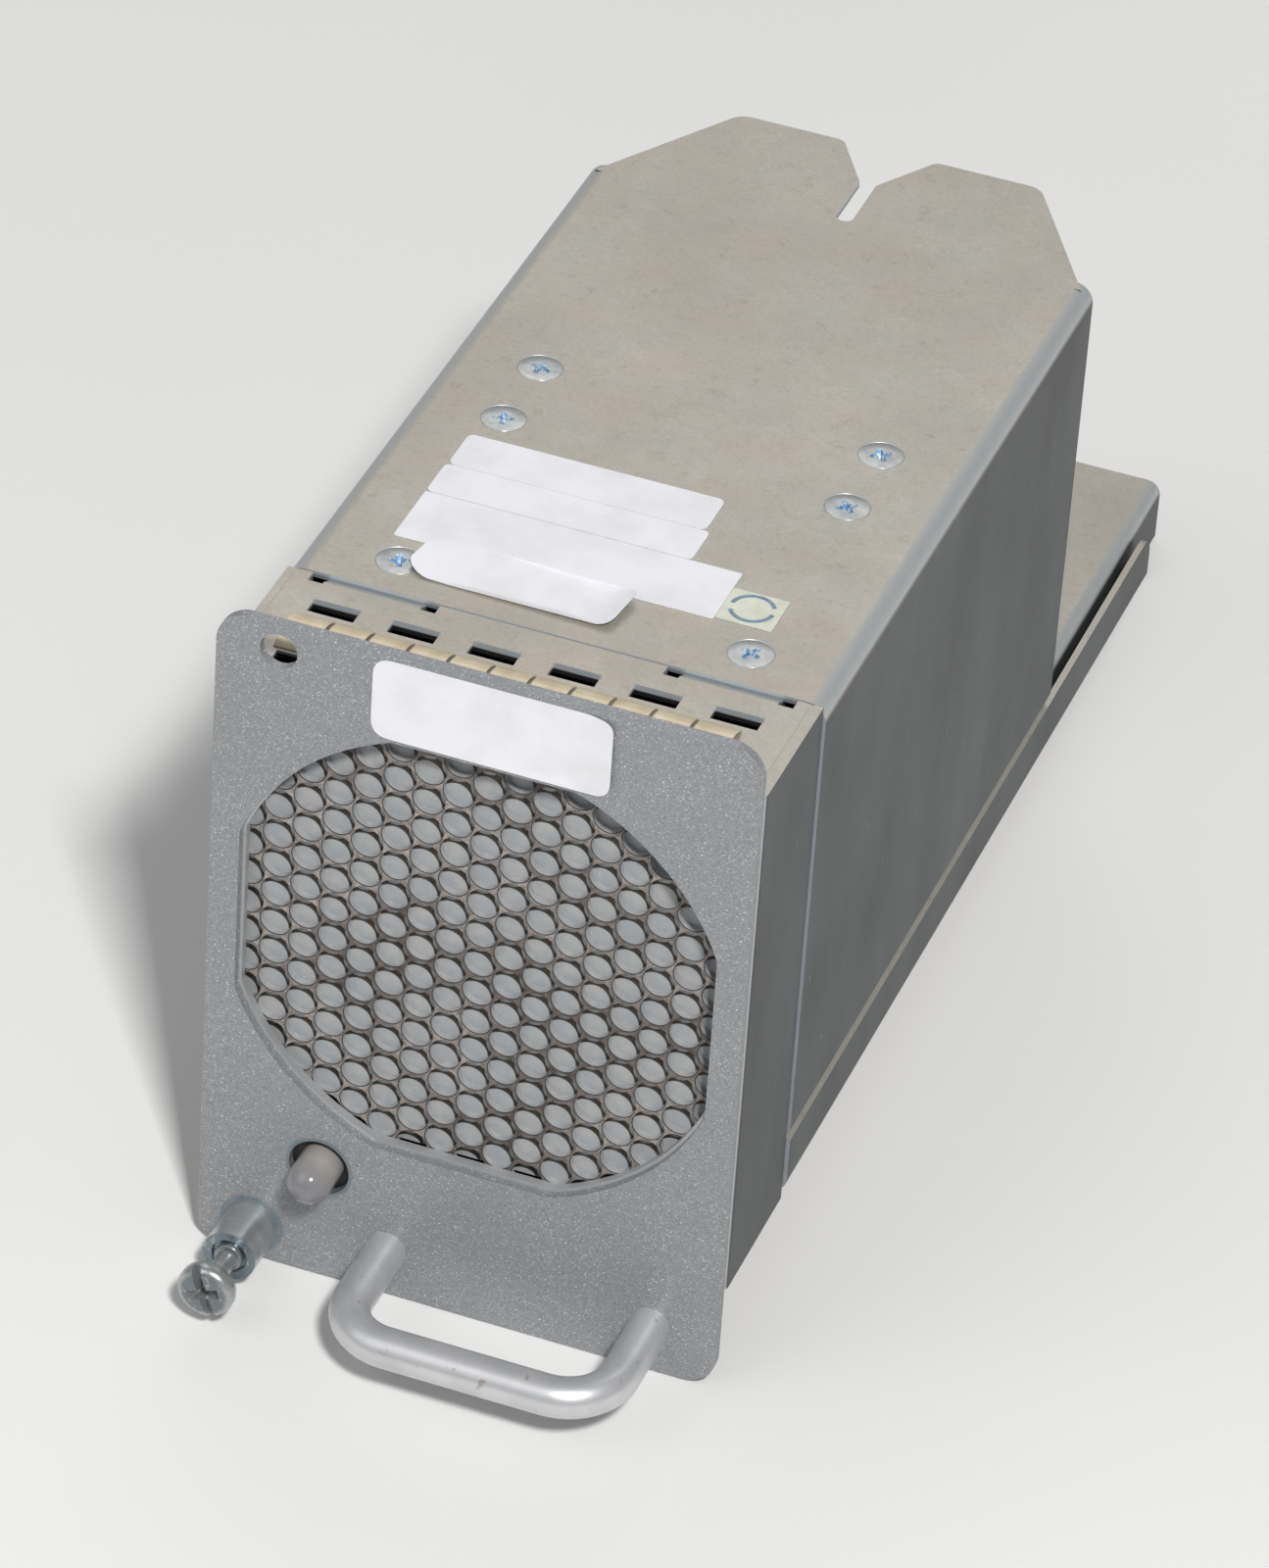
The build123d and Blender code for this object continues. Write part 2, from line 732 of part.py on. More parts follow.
def status_led():
    body = rod_y(led_d, led_x, led_z, led_cylinder_y, led_flange_y)
    dome = Pos(led_x, led_cylinder_y, led_z) * Sphere(led_d / 2)
    flange = rod_y(led_flange_d, led_x, led_z, led_flange_y, led_flange_y + led_flange_t)
    return joined([body, dome, flange])


def led_holder():
    rear = led_flange_y + led_flange_t
    body = slab_y(RectangleRounded(led_holder_w, led_holder_h, led_holder_h / 8),
                  led_holder_front_y, led_holder_rear_y, led_x, led_z)
    body -= rod_y(led_d + 2 * fit, led_x, led_z, 0, led_flange_y)
    body -= rod_y(led_flange_d + 2 * fit, led_x, led_z, led_flange_y, led_holder_rear_y + overrun)
    plug = rod_y(led_flange_d, led_x, led_z, rear, led_holder_rear_y)
    return group([body, plug])


def led_board():
    half_w = led_holder_w / 2
    half_h = led_holder_h / 2
    return block(led_x - half_w, led_x + half_w, led_holder_rear_y, led_holder_rear_y + led_board_t,
                 led_z - half_h, led_z + half_h)


def cross_recess(x, y, z):
    """The cutting tool of a cross drive in a head whose face is at z."""
    arms = Rectangle(cross_l, cross_w) + Rectangle(cross_w, cross_l)
    return slab_z(arms, z - cross_depth, z + overrun, x, y)


def cover_screws():
    screws = []
    head_h = (cover_screw_head_d - cover_screw_d) / 2
    for x, y in cover_screw_places():
        head = Pos(x, y, duct_top - head_h / 2) * Cone(cover_screw_d / 2, cover_screw_head_d / 2, head_h)
        shank = rod_z(cover_screw_d, x, y, duct_top - cover_screw_len, duct_top - head_h)
        screws.append(head + shank - cross_recess(x, y, duct_top))
    return group(screws)


def fan_place(front_y):
    """Turns a fan drawn along +Z, intake at zero, into its place in the duct."""
    return Pos(0, front_y, opening_z) * Rot(X=-90)


def ring_z(outer_d, inner_d, z0, z1):
    return slab_z(Circle(outer_d / 2) - Circle(inner_d / 2), z0, z1)


def fan_frame():
    """Two square flanges on a barrel, with struts that carry the motor base and bearing tube."""
    square = RectangleRounded(fan_size, fan_size, fan_corner_r)
    body = slab_z(square, 0, fan_flange_t) + slab_z(square, fan_depth - fan_flange_t, fan_depth)
    body += slab_z(Circle(fan_barrel_d / 2), fan_flange_t, fan_depth - fan_flange_t)
    body -= slab_z(Circle(fan_bore_d / 2), -overrun, fan_depth + overrun)
    for x in (-fan_hole_offset, fan_hole_offset):
        for y in (-fan_hole_offset, fan_hole_offset):
            body -= slab_z(Circle(fan_hole_d / 2), -overrun, fan_depth + overrun, x, y)
    depth = cover_screw_len - (duct_top - fan_top)
    for x in (-cover_screw_x, cover_screw_x):
        for z in (fan_flange_t / 2, fan_depth - fan_flange_t / 2):
            hole = Cylinder(cover_screw_d / 2 + fit, depth + overrun + fit)
            body -= Pos(x, (depth + fit - overrun - fan_size) / 2, z) * Rot(X=90) * hole
    base = slab_z(Circle(hub_d / 2), motor_base_z, fan_depth)
    tube = slab_z(Circle(tube_d / 2), bearing_z[0], motor_base_z + motor_base_t / 2)
    reach = (fan_bore_d + fan_barrel_d) / 4
    strut = block(hub_d / 2 - strut_w, reach, strut_offset - strut_w / 2, strut_offset + strut_w / 2,
                  fan_depth - strut_l, fan_depth)
    struts = [Rot(Z=i * 360 / strut_count) * strut for i in range(strut_count)]
    barrel = Cylinder((fan_bore_d + fan_barrel_d) / 4, fan_depth * 3)
    struts = [s & barrel for s in struts]
    body = joined([body, base, tube] + struts)
    body -= slab_z(Circle(bearing_shoulder_d / 2), bearing_z[0] - overrun, motor_base_z)
    for z in bearing_z:
        body -= slab_z(Circle(bearing_d / 2), z, z + bearing_t)
    return body


def fan_bearings():
    return group([ring_z(bearing_d, shaft_d + 2 * fit, z, z + bearing_t) for z in bearing_z])


def blade_section(radius, chord, angle):
    """A thin cambered section, drawn in the plane that touches the cylinder of that radius."""
    a = math.radians(angle)
    along = Vector(math.sin(a), math.cos(a))
    across = Vector(math.cos(a), -math.sin(a))
    first = along * (-chord / 2)
    last = along * (chord / 2)
    crown = across * blade_camber
    edge = across * (blade_edge_t / 2)
    skin = across * (blade_t / 2)
    face = make_face([
        ThreePointArc(first + edge, crown + skin, last + edge), Line(last + edge, last - edge),
        ThreePointArc(last - edge, crown - skin, first - edge), Line(first - edge, first + edge)])
    middle = hub_front + hub_len / 2
    return Plane(origin=(radius, 0, middle), x_dir=(0, 1, 0), z_dir=(1, 0, 0)) * face


def fan_rotor():
    """Hub cup, shaft boss and the ring of twisted blades."""
    rear = hub_front + hub_len
    hub = slab_z(Circle(hub_d / 2), hub_front, rear)
    hub = fillet(hub.edges().group_by(Axis.Z)[0], hub_round_r)
    hub -= slab_z(Circle(hub_d / 2 - hub_wall), hub_front + hub_wall, rear + overrun)
    hub += slab_z(Circle(boss_d / 2), hub_front + hub_wall / 2, hub_front + boss_len)
    hub -= slab_z(Circle(shaft_d / 2), hub_front + hub_wall, rear)
    tip_r = fan_bore_d / 2 - blade_tip_gap
    root_r = hub_d / 2 - blade_sink
    inner = blade_section(hub_d / 3, blade_root_chord, blade_root_angle)
    outer = blade_section(tip_r + overrun, blade_tip_chord, blade_tip_angle)
    blade = loft([inner, outer])
    trim = slab_z(Circle(tip_r) - Circle(root_r), 0, fan_depth)
    blade = blade & trim
    blades = [Rot(Z=i * 360 / blade_count) * blade for i in range(blade_count)]
    return joined([hub] + blades)


def fan_shaft():
    return slab_z(Circle(shaft_d / 2), hub_front + hub_wall, bearing_z[1] + bearing_t)


def fan_magnet():
    rear = hub_front + hub_len
    return ring_z(magnet_d, magnet_d - 2 * magnet_wall, rear - magnet_len, rear)


def stator_arm():
    outer = stator_d / 2 - stator_shoe_t / 2
    return block(tube_d / 2 + stator_ring_wall / 2, outer, -stator_arm_w / 2, stator_arm_w / 2,
                 stator_middle - stator_len / 2, stator_middle + stator_len / 2)


def fan_stator():
    """Laminated core: a ring on the bearing tube with arms that end in curved shoes."""
    z0 = stator_middle - stator_len / 2
    z1 = stator_middle + stator_len / 2
    core = ring_z(tube_d + 2 * stator_ring_wall, tube_d, z0, z1)
    rim = ring_z(stator_d, stator_d - 2 * stator_shoe_t, z0, z1)
    gap = (360 / stator_poles - stator_shoe_angle) / 2
    reach = stator_d
    wedge_w = 2 * math.radians(gap) * stator_d / 2
    for i in range(stator_poles):
        cut = block(0, reach, -wedge_w / 2, wedge_w / 2, z0 - overrun, z1 + overrun)
        rim -= Rot(Z=(i + 0.5) * 360 / stator_poles) * cut
    arms = [Rot(Z=i * 360 / stator_poles) * stator_arm() for i in range(stator_poles)]
    return joined([core, *rim.solids(), *arms])


def fan_coils():
    """Windings round the stator's arms."""
    r0 = tube_d / 2 + stator_ring_wall + coil_gap
    r1 = stator_d / 2 - stator_shoe_t - coil_gap * 3
    z0 = stator_middle - stator_len / 2 - coil_over
    z1 = stator_middle + stator_len / 2 + coil_over
    winding = block(r0, r1, -coil_w / 2, coil_w / 2, z0, z1)
    winding = fillet(winding.edges().filter_by(Axis.X), coil_over)
    hole = block(r0 - overrun, r1 + overrun, -stator_arm_w / 2 - coil_gap, stator_arm_w / 2 + coil_gap,
                 z0 + coil_over - coil_gap, z1 - coil_over + coil_gap)
    winding -= hole
    room = Cylinder(stator_d / 2 - stator_shoe_t - coil_gap, fan_depth * 3)
    winding = winding & room
    return group([Rot(Z=i * 360 / stator_poles) * winding for i in range(stator_poles)])


def fan_driver():
    """The motor's small round board on its base."""
    z1 = motor_base_z - driver_gap
    return ring_z(stator_d + driver_gap, tube_d + 2 * fit, z1, z1 + driver_t)


def pad_places():
    rear_row = fan_fronts[1] + fan_depth - fan_flange_t / 2
    return [(side * cover_screw_x, y) for y in (*screw_rows, rear_row) for side in (-1, 1)]


def fan_pads():
    """Rubber pads between the fans and the duct's top."""
    pads = []
    for x, y in pad_places():
        pad = block(x - pad_w / 2, x + pad_w / 2, y - fan_flange_t / 2, y + fan_flange_t / 2,
                    fan_top, ceiling_z)
        pads.append(pad - rod_z(pad_hole_d, x, y, fan_top - overrun, ceiling_z + overrun))
    return group(pads)


def fan_feet():
    """Rubber feet between the fans and the tray's floor."""
    feet = []
    for x, y in pad_places():
        place = math.copysign(foot_x, x)
        feet.append(block(place - foot_w / 2, place + foot_w / 2, y - fan_flange_t / 2,
                          y + fan_flange_t / 2, floor_top, fan_bottom))
    return group(feet)


def guard_eyes():
    """Where the guard is screwed to the rear fan's corners."""
    return [(x, opening_z + z) for x in (-fan_hole_offset, fan_hole_offset)
            for z in (-fan_hole_offset, fan_hole_offset)]


def rear_guard():
    """Wire finger guard: four spokes with flat eyes and three welded rings."""
    rings = [share * fan_bore_d / 2 for share in guard_ring_shares]
    reach = fan_hole_offset * math.sqrt(2) - (guard_eye_d + guard_screw_d) / 4
    inner = rings[0] - guard_wire_d / 2
    pieces = []
    for turn in (45, 135, 225, 315):
        spoke = Pos((inner + reach) / 2, 0, 0) * Rot(Y=90) * Cylinder(guard_wire_d / 2, reach - inner)
        pieces.append(Pos(0, guard_bar_y, opening_z) * Rot(Y=turn) * spoke)
    for r in rings:
        pieces.append(Pos(0, guard_ring_y, opening_z) * Rot(X=90) * Torus(r, guard_wire_d / 2))
    for x, z in guard_eyes():
        pieces.append(rod_y(guard_eye_d, x, z, fan_rear_y, guard_eye_rear_y))
    body = joined(pieces)
    for x, z in guard_eyes():
        body -= rod_y(guard_screw_d + 2 * fit, x, z, fan_rear_y - overrun, guard_eye_rear_y + overrun)
    return body


def guard_screws():
    screws = []
    head_rear = guard_eye_rear_y + guard_screw_head_t
    for x, z in guard_eyes():
        shank = rod_y(guard_screw_d, x, z, guard_eye_rear_y - guard_screw_len, guard_eye_rear_y)
        head = rod_y(guard_screw_head_d, x, z, guard_eye_rear_y, head_rear)
        screws.append(shank + chamfer(head.edges().group_by(Axis.Y)[-1], guard_screw_head_t / 3))
    return group(screws)


def board_corners():
    half = half_board - standoff_edge
    ys = (board_front_y + header_edge + header_l + standoff_edge, board_rear_y - plug_step_l - standoff_edge)
    return [(x, y) for x in (-half, half) for y in ys]


def connector_board():
    body = block(-half_board, half_board, board_front_y, board_rear_y, board_z, board_top)
    for x, y in board_corners():
        body -= rod_z(board_screw_d + 2 * fit, x, y, board_z - overrun, board_top + overrun)
    return body


def board_standoffs():
    return group([rod_z(standoff_d, x, y, floor_top, board_z)
                  - rod_z(board_screw_d + 2 * fit, x, y, floor_top - overrun, board_z + overrun)
                  for x, y in board_corners()])


def board_screws():
    screws = []
    for x, y in board_corners():
        shank = rod_z(board_screw_d, x, y, floor_top + fit, board_top)
        head = rod_z(board_screw_head_d, x, y, board_top, board_top + board_screw_head_t)
        screws.append(shank + chamfer(head.edges().group_by(Axis.Z)[-1], board_screw_head_t / 3))
    return group(screws)


def header_places():
    return [led_lead_x, *fan_lead_x]


def board_headers():
    """Low wire sockets at the board's front edge."""
    return group([block(x - header_w / 2, x + header_w / 2, header_front_y, header_front_y + header_l,
                        board_top, board_top + header_h) for x in header_places()])


def rear_connector():
    """The blind-mating socket block, stepped over the board's rear edge."""
    body = block(-plug_w / 2, plug_w / 2, board_rear_y, plug_rear_y, plug_bottom, plug_top)
    body += block(-plug_w / 2, plug_w / 2, board_rear_y - plug_step_l, board_rear_y, board_top, plug_top)
    middle = (plug_bottom + plug_top) / 2
    for i in range(plug_columns):
        for j in range(plug_rows):
            x = (i - (plug_columns - 1) / 2) * plug_cavity_pitch
            z = middle + (j - (plug_rows - 1) / 2) * plug_cavity_pitch
            body -= block(x - plug_cavity / 2, x + plug_cavity / 2, plug_rear_y - plug_cavity_depth,
                          plug_rear_y + overrun, z - plug_cavity / 2, z + plug_cavity / 2)
    edge = plug_columns * plug_cavity_pitch / 2 + guide_hole_d
    for x in (-edge, edge):
        body -= rod_y(guide_hole_d, x, middle, plug_rear_y - plug_cavity_depth, plug_rear_y + overrun)
    return body


def fan_lead(index):
    """The wires of one fan, out of its lower flange and along the floor to the board."""
    x = fan_lead_x[index]
    y = screw_rows[1 + index]
    path = FilletPolyline(
        (x, y, fan_bottom), (x, y, lead_z), (x, lead_rise_y, lead_z), (x, lead_level_y, header_z),
        (x, header_front_y, header_z), radius=[lead_exit_r, lead_bend_r, lead_bend_r])
    return tube_along(path, lead_d)


def led_lead():
    start_y = led_holder_rear_y + led_board_t
    path = FilletPolyline(
        (led_x, start_y, lead_z), (led_x, led_lead_turn_y, lead_z), (led_lead_x, led_lead_straight_y, lead_z),
        (led_lead_x, lead_rise_y, lead_z), (led_lead_x, lead_level_y, header_z),
        (led_lead_x, header_front_y, header_z), radius=lead_bend_r)
    return tube_along(path, led_lead_d)


nodes = {
    "front_panel": front_panel,
    "front_bracket": front_bracket,
    "duct_cover": duct_cover,
    "base_tray": base_tray,
    "base_rivets": base_rivets,
    "connector_cover": connector_cover,
    "contact_strip": contact_strip,
    "vent_grille": vent_grille,
    "filter_pad": filter_pad,
    "vent_clips": vent_clips,
    "carry_handle": carry_handle,
    "handle_screws": handle_screws,
    "captive_sleeve": captive_sleeve,
    "captive_screw": captive_screw,
    "captive_ring": captive_ring,
    "captive_spring": captive_spring,
    "status_led": status_led,
    "led_holder": led_holder,
    "led_board": led_board,
    "led_lead": led_lead,
    "cover_screws": cover_screws,
    "fan_pads": fan_pads,
    "fan_feet": fan_feet,
    "rear_guard": rear_guard,
    "guard_screws": guard_screws,
    "connector_board": connector_board,
    "board_standoffs": board_standoffs,
    "board_screws": board_screws,
    "board_headers": board_headers,
    "rear_connector": rear_connector,
}
fan_pieces = {
    "frame": fan_frame,
    "bearings": fan_bearings,
    "stator": fan_stator,
    "coils": fan_coils,
    "driver": fan_driver,
    "rotor": fan_rotor,
    "shaft": fan_shaft,
    "magnet": fan_magnet,
}


def main():
    os.makedirs("parts", exist_ok=True)
    to_middle = Pos(0, -middle_y, 0)
    for name, make in nodes.items():
        export_step(to_middle * make(), f"parts/{name}.step")
    for piece, make in fan_pieces.items():
        shape = make()
        for index, name in enumerate(("front_fan", "rear_fan")):
            export_step(to_middle * fan_place(fan_fronts[index]) * shape, f"parts/{name}_{piece}.step")
    for index, name in enumerate(("front_fan", "rear_fan")):
        export_step(to_middle * fan_lead(index), f"parts/{name}_lead.step")


main()
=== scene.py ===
import json
import math

import bmesh
import bpy
from mathutils import Matrix, Vector
from mathutils.geometry import delaunay_2d_cdt


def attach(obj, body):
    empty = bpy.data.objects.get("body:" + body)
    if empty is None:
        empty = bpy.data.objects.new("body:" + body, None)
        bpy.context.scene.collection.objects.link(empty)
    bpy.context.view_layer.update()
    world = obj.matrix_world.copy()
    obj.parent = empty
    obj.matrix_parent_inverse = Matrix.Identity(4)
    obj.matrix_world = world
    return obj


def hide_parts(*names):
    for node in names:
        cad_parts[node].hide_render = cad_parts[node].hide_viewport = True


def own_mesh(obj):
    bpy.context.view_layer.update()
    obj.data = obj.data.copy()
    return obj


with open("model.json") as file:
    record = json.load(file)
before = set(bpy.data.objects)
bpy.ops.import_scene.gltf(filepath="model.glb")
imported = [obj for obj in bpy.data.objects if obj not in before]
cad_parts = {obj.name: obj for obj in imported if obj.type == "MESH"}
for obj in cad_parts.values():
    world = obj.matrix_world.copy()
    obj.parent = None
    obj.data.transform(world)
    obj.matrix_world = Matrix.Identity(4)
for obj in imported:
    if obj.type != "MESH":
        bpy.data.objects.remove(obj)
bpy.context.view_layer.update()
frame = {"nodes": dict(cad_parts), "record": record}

# Sizes in millimetres, in the frame where Y = 0 is the panel's front face
middle_y = 72.6
duct_top = 80.9
led_place = (-17.0, 15.3)
captive_place = (-24.9, 4.6)
tray_rear = (154.5, 13.5)

# The gap between sheets that lie on each other, in millimetres
hair = 0.02

# The photograph's camera: its place in metres and its angles in degrees
camera_place = (0.2340, -0.7251, 0.5801)
camera_azimuth = 18.38
camera_elevation = 36.05
camera_roll = 4.04
focal_pixels = 8122.9
picture_height = 1600
sensor_mm = 36.0


def place(x, y, z):
    """A point of the part in metres."""
    return Vector((x, y - middle_y, z)) / 1000


def srgb(r, g, b):
    """A colour given as 0 to 255, made linear."""
    values = []
    for c in (r, g, b):
        c /= 255
        values.append(c / 12.92 if c <= 0.04045 else ((c + 0.055) / 1.055) ** 2.4)
    return (*values, 1.0)


def shaded(colour, factor):
    """A linear colour made darker."""
    return (*(c * factor for c in colour[:3]), 1.0)


# Materials


class Finish:
    """A node material with short calls for the patterns used here. Pattern sizes are in millimetres."""

    def __init__(self, name, colour, roughness, metallic=0.0, **constants):
        self.material = bpy.data.materials.new(name)
        self.material.use_nodes = True
        self.tree = self.material.node_tree
        self.shader = self.tree.nodes["Principled BSDF"]
        self.shader.inputs["Base Color"].default_value = colour
        self.shader.inputs["Roughness"].default_value = roughness
        self.shader.inputs["Metallic"].default_value = metallic
        for key, value in constants.items():
            self.shader.inputs[key.replace("_", " ")].default_value = value
        self.place = self.node("ShaderNodeTexCoord").outputs["Object"]

    def node(self, kind, **settings):
        made = self.tree.nodes.new(kind)
        for key, value in settings.items():
            setattr(made, key, value)
        return made

    def link(self, a, b):
        self.tree.links.new(a, b)

    def feed(self, socket, value):
        """Sets a socket to a constant, or links it to another node's output."""
        if isinstance(value, (int, float, tuple)):
            socket.default_value = value
        else:
            self.link(value, socket)

    def mapped(self, stretch):
        """The place, with patterns drawn out along an axis by a factor under one."""
        if stretch == (1, 1, 1):
            return self.place
        node = self.node("ShaderNodeMapping")
        node.inputs["Scale"].default_value = stretch
        self.link(self.place, node.inputs["Vector"])
        return node.outputs["Vector"]

    def noise(self, size, detail, stretch=(1, 1, 1), roughness=0.5):
        node = self.node("ShaderNodeTexNoise")
        node.inputs["Scale"].default_value = 1000 / size
        node.inputs["Detail"].default_value = detail
        node.inputs["Roughness"].default_value = roughness
        self.link(self.mapped(stretch), node.inputs["Vector"])
        return node.outputs["Fac"]

    def cells(self, size, output):
        node = self.node("ShaderNodeTexVoronoi")
        node.inputs["Scale"].default_value = 1000 / size
        self.link(self.place, node.inputs["Vector"])
        return node.outputs[output]

    def grains(self, size):
        """Outputs Red, Green and Blue: three independent values for each cell."""
        node = self.node("ShaderNodeSeparateColor")
        self.link(self.cells(size, "Color"), node.inputs["Color"])
        return node.outputs

    def share(self, value, low, high, to_low=0.0, to_high=1.0):
        """value from low to high becomes to_low to to_high."""
        node = self.node("ShaderNodeMapRange")
        ends = {"From Min": low, "From Max": high, "To Min": to_low, "To Max": to_high}
        for key, number in ends.items():
            node.inputs[key].default_value = number
        self.link(value, node.inputs["Value"])
        return node.outputs["Result"]

    def maths(self, operation, a, b=0.0):
        node = self.node("ShaderNodeMath", operation=operation)
        self.feed(node.inputs[0], a)
        self.feed(node.inputs[1], b)
        return node.outputs["Value"]

    def mix_number(self, factor, first, second):
        node = self.node("ShaderNodeMix", data_type="FLOAT")
        self.link(factor, node.inputs["Factor"])
        self.feed(node.inputs[2], first)
        self.feed(node.inputs[3], second)
        return node.outputs[0]

    def mix(self, factor, first, second):
        node = self.node("ShaderNodeMix", data_type="RGBA")
        self.link(factor, node.inputs["Factor"])
        self.feed(node.inputs[6], first)
        self.feed(node.inputs[7], second)
        return node.outputs[2]

    def tint(self, base, colour, mask, strength):
        """base with a colour laid over it where mask is high."""
        return self.mix(self.maths("MULTIPLY", mask, strength), base, colour)

    def axis(self, source, letter):
        node = self.node("ShaderNodeSeparateXYZ")
        self.link(source, node.inputs["Vector"])
        return node.outputs[letter]

    def normal(self, letter):
        """One component of the surface's normal."""
        return self.axis(self.node("ShaderNodeNewGeometry").outputs["Normal"], letter)

    def front(self):
        """1 where the surface faces the front, -1 where it faces the rear."""
        return self.maths("MULTIPLY", self.normal("Y"), -1.0)

    def placed(self, letter, low, high, to_low=0.0, to_high=1.0):
        """How far out along X to either side, or along Y or Z, from low to high in millimetres."""
        value = self.axis(self.place, letter)
        if letter == "X":
            value = self.maths("ABSOLUTE", value)
        ends = [place(0, v, 0).y if letter == "Y" else v / 1000 for v in (low, high)]
        return self.share(value, *ends, to_low, to_high)

    def near(self, x, z, low, high):
        """1 nearer than low to an axis along Y, down to 0 at high. Distances in millimetres."""
        node = self.node("ShaderNodeVectorMath", operation="DISTANCE")
        flat = self.node("ShaderNodeVectorMath", operation="MULTIPLY")
        flat.inputs[1].default_value = (1, 0, 1)
        self.link(self.place, flat.inputs[0])
        self.link(flat.outputs["Vector"], node.inputs[0])
        node.inputs[1].default_value = (x / 1000, 0, z / 1000)
        return self.share(node.outputs["Value"], low / 1000, high / 1000, 1.0, 0.0)

    def colour(self, value):
        self.link(value, self.shader.inputs["Base Color"])
        return self

    def rough(self, value):
        self.link(value, self.shader.inputs["Roughness"])
        return self

    def bump(self, height, depth_mm, strength):
        node = self.node("ShaderNodeBump")
        node.inputs["Strength"].default_value = strength
        node.inputs["Distance"].default_value = depth_mm / 1000
        self.link(height, node.inputs["Height"])
        self.link(node.outputs["Normal"], self.shader.inputs["Normal"])
        return self


def plain_metal(name, colour, roughness, metallic=0.9):
    """A metal with cloudy colour, an uneven gloss and a fine grain."""
    f = Finish(name, colour, roughness, metallic)
    cloud = f.noise(4.0, 3.0)
    f.colour(f.mix(f.share(cloud, 0.3, 0.7), shaded(colour, 0.76), colour))
    f.rough(f.share(cloud, 0.3, 0.7, roughness + 0.08, roughness - 0.06))
    return f.bump(f.noise(0.35, 2.0), 0.01, 0.25)


def plain_plastic(name, colour, roughness, grain=0.3, depth=0.02):
    """A moulded plastic with a fine grain and faint cloudiness."""
    f = Finish(name, colour, roughness)
    cloud = f.noise(6.0, 3.0)
    f.colour(f.mix(f.share(cloud, 0.35, 0.65), shaded(colour, 0.8), colour))
    f.rough(f.share(cloud, 0.3, 0.7, roughness + 0.06, roughness - 0.05))
    return f.bump(f.noise(grain, 2.0), depth, 0.4)


def turned_zinc(name, colour, face, stretch=(1, 1, 1)):
    """Plated turned steel, with deeper blue-grey faces at the front."""
    f = Finish(name, colour, 0.30, 0.78)
    cloud = f.share(f.noise(2.0, 3.0, stretch, 0.6), 0.35, 0.68)
    tone = f.tint(colour, face, cloud, 0.4)
    streak = f.share(f.noise(0.8, 2.0), 0.58, 0.66, 0.0, 0.5)
    f.colour(f.mix(f.share(f.front(), 0.86, 0.97), tone, f.mix(streak, face, colour)))
    f.rough(f.share(cloud, 0.0, 1.0, 0.26, 0.36))
    return f.bump(f.noise(0.35, 2.0, stretch), 0.01, 0.3)


# Where bare metal shows round a hole in the panel: it ends between these radii, in millimetres
led_bare = (4.0, 4.2)
captive_bare = (3.8, 4.0)


def panel_paint():
    """Silver-grey metallic paint: a fine orange peel with small bright and dark flakes, and bare
    bluish metal round the light's hole and the captive screw's sleeve."""
    f = Finish("panel_paint", srgb(148, 150, 152), 0.45, 0.3)
    flake = f.grains(0.13)
    base = f.mix(flake["Red"], srgb(128, 130, 132), srgb(160, 162, 164))
    bright = f.share(flake["Green"], 0.96, 0.985)
    base = f.tint(base, srgb(234, 234, 234), bright, 0.85)
    cloud = f.share(f.noise(11.0, 3.0), 0.35, 0.65)
    base = f.tint(base, srgb(128, 132, 137), cloud, 0.2)
    ragged = f.share(f.noise(1.5, 2.0), 0.3, 0.7, 0.4, 0.9)
    ring = f.maths("MAXIMUM", f.near(*led_place, *led_bare), f.near(*captive_place, *captive_bare))
    f.colour(f.tint(base, srgb(104, 120, 130), ring, ragged))
    f.rough(f.share(flake["Blue"], 0.0, 1.0, 0.40, 0.52))
    return f.bump(f.noise(0.45, 2.0), 0.02, 0.3)


# Where the sheet metal's look changes, in millimetres: the front sheet's rear, both sides of the cover's
# front edge, where its painted highlight lies, the punched edges of the top and, on them, where the
# near-black lower part turns grey and where the bright lip begins
front_sheet_y = (2.3, 2.5)
cover_edge_front_y = (20.3, 20.4)
cover_edge_rear_y = (20.7, 20.6)
punched_x = (29.7, 29.3)
punched_z = (79.8, 79.9)
under_lip_dark_y = (16.0, 17.0)
bright_lip_z = (80.45, 80.60)


